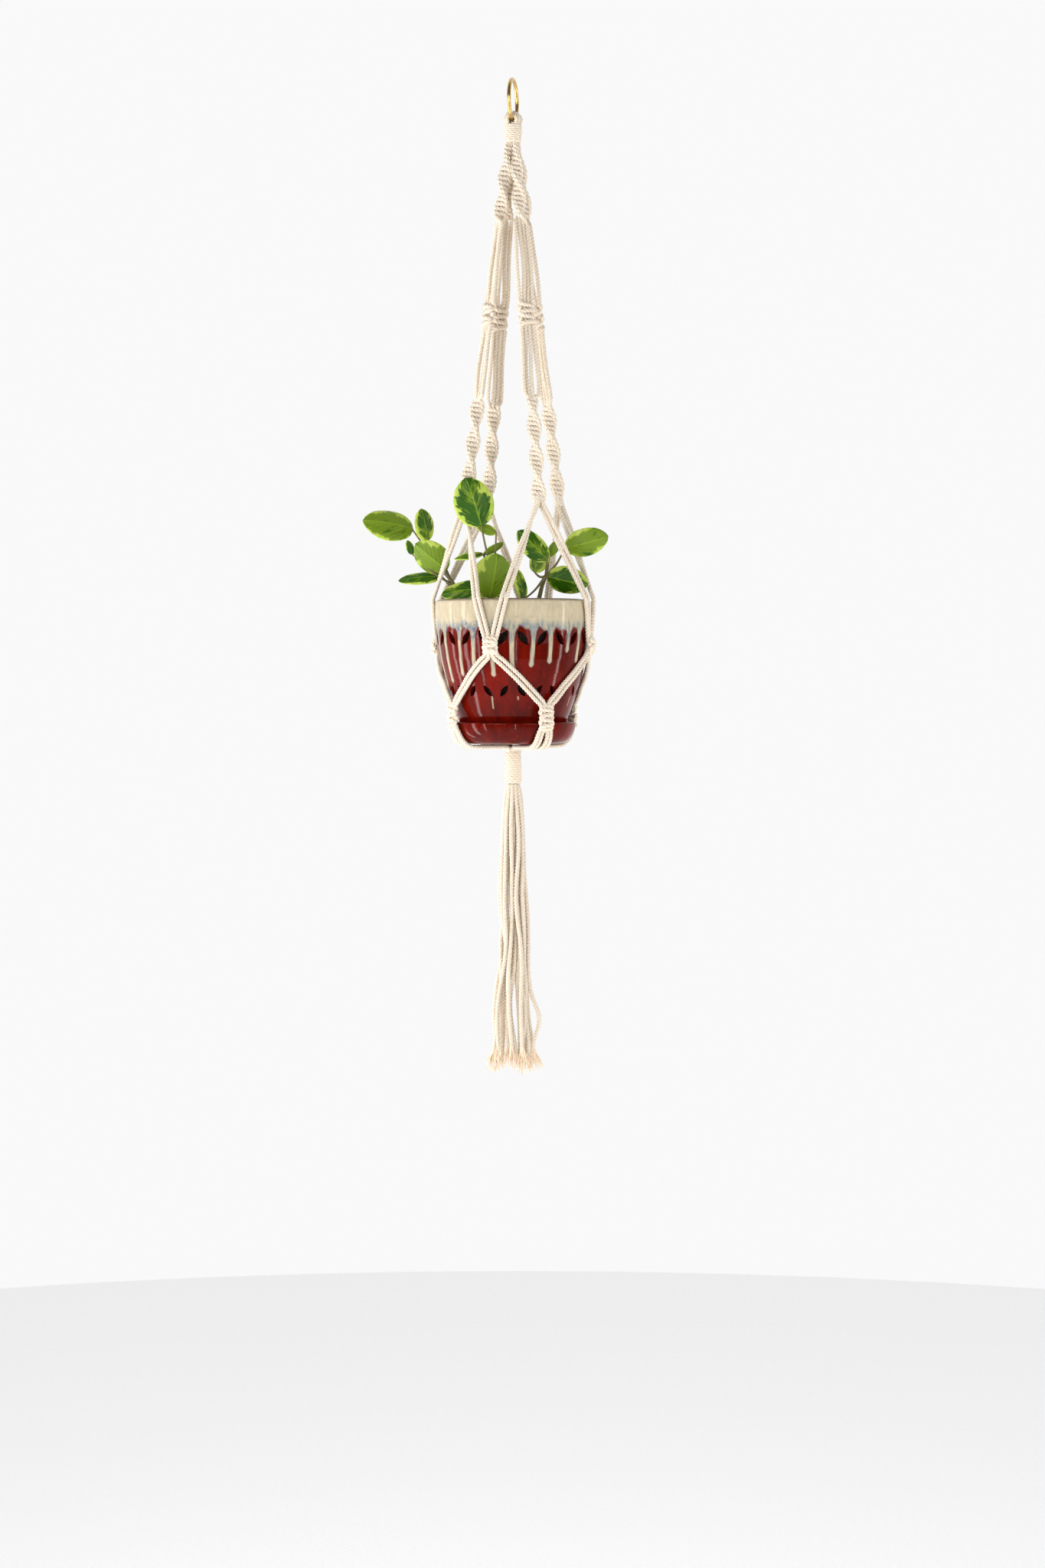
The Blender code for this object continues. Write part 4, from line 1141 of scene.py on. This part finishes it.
class PLANTER_OT_net(PieceOperator, bpy.types.Operator):
    """Add the net round the pot and the gather under the saucer"""

    bl_idname = "planter.net"
    bl_label = "Net"

    def make(self, scene):
        for k, azimuth in enumerate(ARMS):
            tag = "abcd"[k]
            for number, side in ((1, 1), (2, -1)):
                legs = [cord(p, phase=n * 2.0 + k) for n, p in enumerate(net_upper(azimuth, side))]
                settle(build(f"leg_{tag}{number}", legs, cotton()), "sling", [f"net_leg_{tag}{number}"])
                ties = net_lower(azimuth + 45.0, side)
                ties = [cord(p, phase=n * 2.6 + k) for n, p in enumerate(ties)]
                settle(build(f"tie_{tag}{number}", ties, cotton()), "sling", [f"net_tie_{tag}{number}"])
            turn = azimuth + 45.0
            rise = pot_radius(JOIN_Z + JOIN_HALF) - pot_radius(JOIN_Z - JOIN_HALF)
            slope = 0.5 * math.atan2(rise, 2 * JOIN_HALF)
            reach = max(pot_radius(JOIN_Z), pot_radius(JOIN_Z + JOIN_HALF)) + EASE + 4.5 * MM
            out = unit(outward(turn) * math.cos(slope) - UP * math.sin(slope))
            middle = polar(reach, turn, JOIN_Z)
            parts = square_knot(middle, around(turn), out, 18 * MM, 13.5 * MM, 9.6 * MM, 3)
            settle(build(f"join_knot_{tag}_cords", parts, cotton()), "sling", [f"join_knot_{tag}"])
            middle = polar(BASE_R, azimuth, (BASE_TOP + BASE_END) / 2)
            parts = square_knot(
                middle, around(azimuth), outward(azimuth), 18.8 * MM, 21 * MM, 9.0 * MM, 4
            )
            settle(build(f"base_knot_{tag}_cords", parts, cotton()), "sling", [f"base_knot_{tag}"])
            parts = [cord(net_under(azimuth, n), phase=1.7 * n) for n in range(4)]
            item = build(f"under_{tag}", parts, cotton())
            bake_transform(item)
            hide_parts(f"under_run_{tag}", "base_gather")


class PLANTER_OT_neck(PieceOperator, bpy.types.Operator):
    """Add the coil that binds the cords above the tassel"""

    bl_idname = "planter.neck"
    bl_label = "Tassel Wrap"

    def make(self, scene):
        radii = ((0.0, 7.9 * MM), (0.06, 8.5 * MM), (0.9, 9.6 * MM), (1.0, 9.2 * MM))
        path = coil(TWRAP_TOP, TWRAP_END, radii, 1.5 * MM, 2.65 * MM)
        core = dense([(0, 0, TWRAP_TOP - 1 * MM), (0, 0, TWRAP_END + 1 * MM)], 8)
        parts = [tube(path, 1.55 * MM, 16 * MM, sides=9, depth=0.12), tube(core, 7.2 * MM, 1.0)]
        settle(build("tassel_coil", parts, cotton()), "neck", ["tassel_wrap"])


def lathe(name, profile, steps, material, closed=False):
    """A turned piece: rings of points round the axis, or a cap where the radius is 0."""
    turns = 2 * math.pi * np.arange(steps) / steps
    verts, rings = [], []
    for radius, z in profile:
        first = len(verts)
        if radius < 1e-7:
            verts.append((0.0, 0.0, z))
            rings.append([first] * steps)
            continue
        verts += [(radius * math.cos(t), radius * math.sin(t), z) for t in turns]
        rings.append(list(range(first, first + steps)))
    pairs = list(zip(rings, rings[1:]))
    if closed:
        pairs.append((rings[-1], rings[0]))
    faces = []
    for upper, lower in pairs:
        for a in range(steps):
            b = (a + 1) % steps
            face = []
            for vertex in (upper[a], lower[a], lower[b], upper[b]):
                if vertex not in face:
                    face.append(vertex)
            if len(face) > 2:
                faces.append(face)
    mesh = bpy.data.meshes.new(name)
    mesh.from_pydata(verts, [], faces)
    mesh.materials.append(material)
    mesh.shade_smooth()
    mesh.update()
    item = bpy.data.objects.new(name, mesh)
    bpy.context.scene.collection.objects.link(item)
    return item


def ease(value, low, high):
    """A smooth step from 0 at low to 1 at high."""
    t = np.clip((value - low) / (high - low), 0.0, 1.0)
    return t * t * (3 - 2 * t)


def mesh_points(mesh):
    """The points of a mesh as rows, and each one's azimuth in degrees."""
    at = np.empty(len(mesh.vertices) * 3)
    mesh.vertices.foreach_get("co", at)
    at = at.reshape(-1, 3)
    return at, np.degrees(np.arctan2(at[:, 0], -at[:, 1]))


class PLANTER_OT_pot(PieceOperator, bpy.types.Operator):
    """Add the pierced pot with its runs of glaze, and its saucer"""

    bl_idname = "planter.pot"
    bl_label = "Pot and Saucer"

    def make(self, scene):
        sizes = scene.planter_pot
        self.plan_runs()
        steps = 504
        foot = RIM_Z - sizes.height
        heights = np.linspace(RIM_Z - 1.6 * MM, foot + 1.0 * MM, 124)
        outer = [(pot_radius(z), z) for z in heights]
        inner = []
        floor = foot + sizes.wall
        for z in np.linspace(floor + 3 * MM, RIM_Z - 2.0 * MM, 34):
            inner.append((pot_radius(z) - sizes.wall, z))
        base = [(pot_radius(foot) - 1.5 * MM, foot), (30 * MM, foot), (7 * MM, foot)]
        base += [(7 * MM, floor), (30 * MM, floor), (pot_radius(floor) - sizes.wall - 3 * MM, floor)]
        lip = [
            (pot_radius(RIM_Z) - sizes.wall + 1.0 * MM, RIM_Z - 0.5 * MM),
            (pot_radius(RIM_Z) - sizes.wall / 2, RIM_Z),
            (pot_radius(RIM_Z) - 1.0 * MM, RIM_Z - 0.35 * MM),
        ]
        profile = outer + base + inner + lip
        pot = lathe("glazed_pot", profile, steps, glaze_material("pot_glaze", True), closed=True)
        self.raise_runs(pot, sizes)
        self.pierce(pot, sizes)
        self.paint(pot, sizes)
        settle(pot, "sling", ["pot"])

        side = [saucer_side(share) for share in np.linspace(0.0, 1.0, 26)]
        floor = SAUCER_END + 5 * MM
        inside = [(r - 4 * MM, z) for r, z in side if z > floor + 2 * MM]
        rim = [(SAUCER_R - 3.2 * MM, SAUCER_TOP + 0.4 * MM), (SAUCER_R - 2 * MM, SAUCER_TOP + 0.7 * MM)]
        rim.append((SAUCER_R - 0.7 * MM, SAUCER_TOP + 0.45 * MM))
        bottom = [(40 * MM, SAUCER_END), (20 * MM, SAUCER_END), (0.0, SAUCER_END)]
        profile = [(0.0, floor), (25 * MM, floor), (52 * MM, floor), *reversed(inside)]
        saucer = lathe(
            "glazed_saucer", profile + rim + side + bottom, 192, glaze_material("saucer_glaze", False)
        )
        settle(saucer, "sling", ["saucer"])

    def plan_runs(self):
        """Where each run of glaze hangs: azimuth, end height, half width."""
        rng = random.Random(11)
        self.runs = []
        for k in range(PIERCED):
            azimuth = PIERCED_TURN * k + rng.uniform(-1.6, 1.6)
            sideways = math.sin(math.radians(azimuth))
            end = RIM_Z - (75.0 - 17.0 * sideways + rng.uniform(-9.0, 9.0)) * MM
            self.runs.append((azimuth, end, rng.uniform(1.9, 2.7) * MM))

    def cover(self, azimuth, z, sizes):
        """How much of the rim's band and of a run lies at points of the pot, 0 to 1."""
        radius = sizes.radius
        wavy = np.sin(np.radians(azimuth) * 24) * 1.3 + np.sin(np.radians(azimuth) * 7 + 1) * 1.2
        wavy = (wavy + np.sin(np.radians(azimuth) * 53 + 2) * 0.7) * MM
        band = ease(z, -572.5 * MM + wavy, -569.0 * MM + wavy)
        run = np.zeros_like(z)
        for where, end, half in self.runs:
            apart = (azimuth - where + 180.0) % 360.0 - 180.0
            bend = 0.8 * MM * np.sin((z - end) / (14 * MM) + where)
            across = np.abs(np.radians(apart) * radius + bend)
            below = np.clip(-571.0 * MM - z, 0.0, None)
            wide = half + 3.4 * MM * np.exp(-below / (3.6 * MM))
            wide = wide + 0.55 * MM * np.exp(-(((z - end - 2.4 * MM) / (3 * MM)) ** 2))
            low = np.clip((end + wide - z) / wide, 0.0, 1.5)
            wide = wide * np.sqrt(np.clip(1.0 - low**2, 0.0, 1.0))
            here = 1.0 - ease(across, wide * 0.86 - 0.4 * MM, wide + 0.25 * MM)
            run = np.maximum(run, np.where((z < -560 * MM) & (wide > 0.3 * MM), here, 0.0))
        return band, run

    def raise_runs(self, pot, sizes):
        """Lifts the outer wall's points where glaze lies thick."""
        mesh = pot.data
        at, azimuth = mesh_points(mesh)
        reach = np.hypot(at[:, 0], at[:, 1])
        outer = np.array([pot_radius(z) for z in at[:, 2]]) - reach < 1.3 * MM
        band, run = self.cover(azimuth, at[:, 2], sizes)
        height = np.maximum(run * sizes.drip_height, band * sizes.drip_height * 0.45)
        height = np.where(outer & (at[:, 2] < RIM_Z - 1.2 * MM), height, 0.0)
        factor = 1 + height / np.maximum(reach, 1 * MM)
        at[:, 0] *= factor
        at[:, 1] *= factor
        mesh.vertices.foreach_set("co", at.ravel())
        mesh.update()

    def pierce(self, pot, sizes):
        """Cuts both rows of leaf-shaped holes."""
        mesh = bpy.data.meshes.new("holes")
        body = bmesh.new()
        for k in range(PIERCED):
            lean = 36.0 if k % 2 else -36.0
            azimuth = PIERCED_TURN * (k + 0.5)
            for share, size in ((0.281, 1.0), (0.655, 0.78)):
                self.add_hole(body, azimuth, RIM_Z - share * sizes.height, lean, size, sizes)
        bmesh.ops.recalc_face_normals(body, faces=body.faces)
        body.to_mesh(mesh)
        body.free()
        cutter = bpy.data.objects.new("holes", mesh)
        bpy.context.scene.collection.objects.link(cutter)
        modifier = pot.modifiers.new("Pierce", "BOOLEAN")
        modifier.object = cutter
        modifier.operation = "DIFFERENCE"
        modifier.solver = "MANIFOLD"
        bpy.context.view_layer.update()
        graph = bpy.context.evaluated_depsgraph_get()
        cut = bpy.data.meshes.new_from_object(pot.evaluated_get(graph))
        pot.modifiers.clear()
        pot.data = cut
        bpy.data.objects.remove(cutter)
        cut.shade_smooth()
        cut.set_sharp_from_angle(angle=math.radians(50))

    def add_hole(self, body, azimuth, z, tilt, size, sizes):
        """One leaf-shaped prism that reaches through the wall."""
        edge = []
        steps = 20
        for k in range(steps + 1):
            u = -1 + 2 * k / steps
            edge.append((u * size * sizes.hole_length / 2, (1 - u * u) * size * sizes.hole_width / 2))
        edge += [(x, -y) for x, y in reversed(edge[1:-1])]
        lean = math.radians(tilt)
        middle = polar(pot_radius(z), azimuth, z)
        rings = []
        for reach in (-15 * MM, 8 * MM):
            ring = []
            for x, y in edge:
                right = x * math.sin(lean) + y * math.cos(lean)
                rise = x * math.cos(lean) - y * math.sin(lean)
                spot = middle + around(azimuth) * right + UP * rise + outward(azimuth) * reach
                ring.append(body.verts.new(spot))
            rings.append(ring)
        body.faces.new(rings[0])
        body.faces.new(reversed(rings[1]))
        for k in range(len(edge)):
            after = (k + 1) % len(edge)
            body.faces.new((rings[0][after], rings[0][k], rings[1][k], rings[1][after]))

    def paint(self, pot, sizes):
        """Stores runs, where they break and where glaze is thin, for the material."""
        mesh = pot.data
        at, azimuth = mesh_points(mesh)
        z = at[:, 2]
        band, run = self.cover(azimuth, z, sizes)
        wavy = np.sin(np.radians(azimuth) * 31) * 1.5 * MM
        breaking = ease(-z, 560.0 * MM + wavy, 569.0 * MM + wavy)
        breaking *= 1.0 - 0.75 * ease(-z, 576.0 * MM, 590.0 * MM)
        thin = ease(z, -542.2 * MM, -540.9 * MM)
        trickle = np.zeros_like(z)
        for k in range(0, PIERCED, 2):
            where = PIERCED_TURN * (k + 0.5) + (3.4 if k % 4 else -2.6)
            apart = (azimuth - where + 180.0) % 360.0 - 180.0
            across = np.abs(np.radians(apart) * 72 * MM)
            low = -645.0 * MM - (k * 7 % 5) * 2.2 * MM
            inside = (z < -640.5 * MM) & (z > low)
            trickle = np.maximum(trickle, np.where(inside, 1 - ease(across, 0.4 * MM, 1.1 * MM), 0))
        colours = np.ones((len(at), 4))
        colours[:, 0] = np.maximum(np.maximum(band, run), trickle * 0.8)
        colours[:, 1] = breaking
        colours[:, 2] = thin * 0.75
        layer = mesh.color_attributes.new(name="glaze", type="FLOAT_COLOR", domain="POINT")
        layer.data.foreach_set("color", colours.ravel())


class PLANTER_OT_soil(PieceOperator, bpy.types.Operator):
    """Add the soil with its crumbs"""

    bl_idname = "planter.soil"
    bl_label = "Soil"

    def make(self, scene):
        sizes = scene.planter_pot
        rng = random.Random(5)
        top = RIM_Z - 13 * MM
        end = RIM_Z - sizes.height + sizes.wall + 0.5 * MM
        profile = [(0.0, top)]
        for reach in np.linspace(5 * MM, pot_radius(top) - 11.5 * MM, 26):
            profile.append((reach, top))
        for z in np.linspace(top - 2 * MM, end, 30):
            profile.append((pot_radius(z) - sizes.wall - 4.6 * MM, z))
        profile.append((0.0, end))
        soil = lathe("soil", profile, 120, soil_material())
        for vertex in soil.data.vertices:
            x, y, z = vertex.co
            if z > top - 1 * MM and x * x + y * y > 0:
                swell = math.sin(x * 160) * math.cos(y * 140 + 1) * 1.2 + rng.uniform(-0.7, 0.7)
                vertex.co.z = z + swell * MM
        settle(soil, "sling", ["root_ball"])
        body = bmesh.new()
        for _ in range(260):
            angle, reach = rng.uniform(0, 2 * math.pi), 67 * MM * math.sqrt(rng.random())
            spot = Vector((reach * math.cos(angle), reach * math.sin(angle), top + 0.6 * MM))
            size = rng.uniform(0.7, 2.1) * MM
            turn = Matrix.Rotation(rng.uniform(0, 3), 4, (rng.random(), rng.random(), 1))
            place = Matrix.Translation(spot) @ turn @ Matrix.Diagonal((size, size * 0.7, size * 0.6, 1))
            made = bmesh.ops.create_icosphere(body, subdivisions=1, radius=1.0, matrix=place)
            for vertex in made["verts"]:
                vertex.co += Vector([rng.uniform(-0.15, 0.15) * size for _ in range(3)])
        mesh = bpy.data.meshes.new("crumbs")
        body.to_mesh(mesh)
        body.free()
        mesh.materials.append(soil.data.materials[0])
        crumbs = bpy.data.objects.new("soil_crumbs", mesh)
        scene.collection.objects.link(crumbs)
        settle(crumbs, "sling", ["root_ball"])


# Each shoot's root (x, y), hub (x, y, z above the rim) and leaves: the middle x, y, z,
# length, width, heading, pitch, roll and kind. Millimetres and degrees.
SHOOTS = {
    "left": (
        (-34, 8),
        (-60, 18, 14),
        (
            (-132, 26, 81, 55, 36, 170, 8, 28, 1),
            (-93, 12, 79, 35, 22, 100, 10, 25, 0),
            (-109, 24, 56, 16, 9, 110, 0, 20, 0),
            (-87, 16, 45, 44, 34, 140, 0, -20, 1),
            (-98, 22, 24, 48, 16, 185, 0, 35, 0),
        ),
    ),
    "middle": (
        (-12, -20),
        (-20, -34, 22),
        (
            (-40, -55, 99, 53, 42, 108, 6, 10, 0),
            (-27, -45, 72, 22, 12, 160, 0, 25, 1),
            (-46, -28, 45, 31, 9, 190, 0, 30, 0),
            (-20, -26, 52, 24, 9, 30, 0, 30, 1),
            (-20, -44, 23, 48, 44, 80, 10, 20, 1),
            (-47, -36, 9, 56, 25, 188, 0, 25, 0),
        ),
    ),
    "right": (
        (26, -12),
        (34, -20, 24),
        (
            (21, -30, 56, 44, 25, 135, 0, 15, 0),
            (27, -18, 42, 30, 22, 70, 0, -25, 0),
            (8, -34, 16, 34, 14, 105, 0, 25, 0),
            (77, -22, 59, 47, 30, 15, 5, 15, 1),
            (57, -21, 19, 44, 30, -12, 0, 20, 0),
            (43, -12, 53, 19, 11, 60, 0, 20, 1),
        ),
    ),
}


def leaf_frame(leaf):
    """A leaf's middle and its length, width and face directions."""
    x, y, z, _, _, heading, pitch, roll, _ = leaf
    turn, lift, lean = (math.radians(a) for a in (heading, pitch, roll))
    spin = Matrix.Rotation(-turn, 3, "Y") @ Matrix.Rotation(-lift, 3, "Z")
    spin = spin @ Matrix.Rotation(lean, 3, "X")
    middle = np.array((x * MM, y * MM, RIM_Z + z * MM))
    axes = [np.array(spin @ Vector(v)) for v in ((1, 0, 0), (0, 0, 1), (0, 1, 0))]
    return middle, *axes


def leaf_blade(leaf, thickness, rng):
    """A thick pointed leaf, cupped along its rib, with a slightly wavy margin."""
    middle, ahead, side, face = leaf_frame(leaf)
    long, wide = leaf[3] * MM, leaf[4] * MM
    rows, columns = 26, 15
    s = np.linspace(-1.0, 1.0, rows)
    v = np.linspace(-1.0, 1.0, columns)
    width = np.clip(1 - s**2, 0, 1) ** 0.53 * (1 - 0.08 * s)
    width = width * (1 - 0.16 * ease(s, 0.6, 1.0)) * wide / 2
    width = np.maximum(width, 0.15 * MM)
    wave = rng.uniform(0, 6)
    verts, uvs_at = [], []
    for layer in (1, -1):
        for a, up in enumerate(s):
            for b, right in enumerate(v):
                cup = 0.10 * wide * (right * width[a] * 2 / wide) ** 2 + 0.06 * long * up * up
                fold = -0.035 * wide * (1 - min(1.0, abs(right) * 4))
                ripple = 0.016 * wide * math.sin(5 * up + wave) * abs(right) ** 3
                thick = thickness / 2 * layer * (1 - 0.75 * abs(right) ** 6)
                spot = middle + ahead * (up * long / 2) + side * (right * width[a])
                verts.append(spot + face * (cup + fold + ripple + thick))
                uvs_at.append(((up + 1) / 2, (right + 1) / 2))
    faces = []
    half = rows * columns
    for a in range(rows - 1):
        for b in range(columns - 1):
            q = [a * columns + b, a * columns + b + 1, (a + 1) * columns + b + 1, (a + 1) * columns + b]
            faces.append(q)
            faces.append([i + half for i in reversed(q)])
    rim = [a * columns for a in range(rows)] + [(rows - 1) * columns + b for b in range(1, columns)]
    rim += [a * columns + columns - 1 for a in range(rows - 2, -1, -1)]
    rim += list(range(columns - 2, 0, -1))
    for k, first in enumerate(rim):
        after = rim[(k + 1) % len(rim)]
        faces.append([first, after, after + half, first + half])
    uvs = [uvs_at[i] for face in faces for i in face]
    return np.array(verts), faces, uvs


def leafy(name, parts, material):
    """Blades as one object, their faces pointing out, with the leaf's own uv name."""
    item = build(name, parts, material)
    item.data.uv_layers[0].name = "leaf"
    body = bmesh.new()
    body.from_mesh(item.data)
    bmesh.ops.recalc_face_normals(body, faces=body.faces)
    body.to_mesh(item.data)
    body.free()
    return item


class PLANTER_OT_plant(PieceOperator, bpy.types.Operator):
    """Add the variegated plant's three shoots"""

    bl_idname = "planter.plant"
    bl_label = "Plant"

    def make(self, scene):
        sizes = scene.planter_plant
        rng = random.Random(21)
        looks = (leaf_material("leaf_margined", 1.42, 0.98), leaf_material("leaf_pale", 1.50, 0.72))
        stem = plain_material("stem", sizes.stem, 0.5)
        for key, (root, hub, leaves) in SHOOTS.items():
            foot = np.array((root[0] * MM, root[1] * MM, RIM_Z - 15 * MM))
            fork = np.array((hub[0] * MM, hub[1] * MM, RIM_Z + hub[2] * MM))
            bend = foot + UP * 9 * MM
            middle = (bend + fork) / 2 + UP * 3 * MM
            stems = [self.stalk([foot, bend, middle, fork], 2.6 * MM, 2.1 * MM)]
            blades = ([], [])
            for leaf in leaves:
                centre, ahead, _, face = leaf_frame(leaf)
                long = leaf[3] * MM
                tip = centre - ahead * long * 0.47 + face * 0.05 * long
                bow = fork + (tip - fork) * 0.5 - UP * 3 * MM
                along = centre + face * 0.012 * long - ahead * long * 0.30
                stems.append(
                    self.stalk([fork, bow, tip, along], sizes.stalk * 1.15, sizes.stalk * 0.6)
                )
                blades[leaf[8]].append(leaf_blade(leaf, sizes.thickness, rng))
            names = [f"plant_{key}"]
            settle(build(f"stems_{key}", stems, stem), "sling", names)
            for number, parts in enumerate(blades):
                if parts:
                    item = leafy(f"leaves_{key}_{number + 1}", parts, looks[number])
                    settle(item, "sling", names)

    def stalk(self, points, first, last):
        path = smooth_path(points, 2.0 * MM)
        return tube(path, np.linspace(first, last, len(path)), 40 * MM, sides=10, depth=0.04)


# ---------------------------------------------------------------- panel and setup
OPERATORS = (
    PLANTER_OT_stage,
    PLANTER_OT_tassel,
    PLANTER_OT_arms,
    PLANTER_OT_net,
    PLANTER_OT_crown,
    PLANTER_OT_neck,
    PLANTER_OT_ring,
    PLANTER_OT_pot,
    PLANTER_OT_soil,
    PLANTER_OT_plant,
)
GROUPS = {
    "planter_cord": CordSettings,
    "planter_pot": PotSettings,
    "planter_plant": PlantSettings,
    "planter_stage": StageSettings,
}


class PLANTER_PT_panel(bpy.types.Panel):
    """Sizes, colours and the operators that make the pieces"""

    bl_label = "Planter"
    bl_idname = "PLANTER_PT_panel"
    bl_space_type = "VIEW_3D"
    bl_region_type = "UI"
    bl_category = "Planter"

    def draw(self, context):
        for key, group in GROUPS.items():
            box = self.layout.box()
            box.label(text=key.removeprefix("planter_").title())
            for name in group.__annotations__:
                box.prop(getattr(context.scene, key), name)
        for operator in OPERATORS:
            self.layout.operator(operator.bl_idname)


def register():
    for item in (*GROUPS.values(), *OPERATORS, PLANTER_PT_panel):
        bpy.utils.register_class(item)
    for key, group in GROUPS.items():
        setattr(bpy.types.Scene, key, bpy.props.PointerProperty(type=group))


def unregister():
    for key in GROUPS:
        delattr(bpy.types.Scene, key)
    for item in reversed((*GROUPS.values(), *OPERATORS, PLANTER_PT_panel)):
        bpy.utils.unregister_class(item)


def main():
    register()
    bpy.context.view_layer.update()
    for operator in OPERATORS:
        group, name = operator.bl_idname.split(".")
        getattr(getattr(bpy.ops, group), name)()


if __name__ == "__main__":
    main()
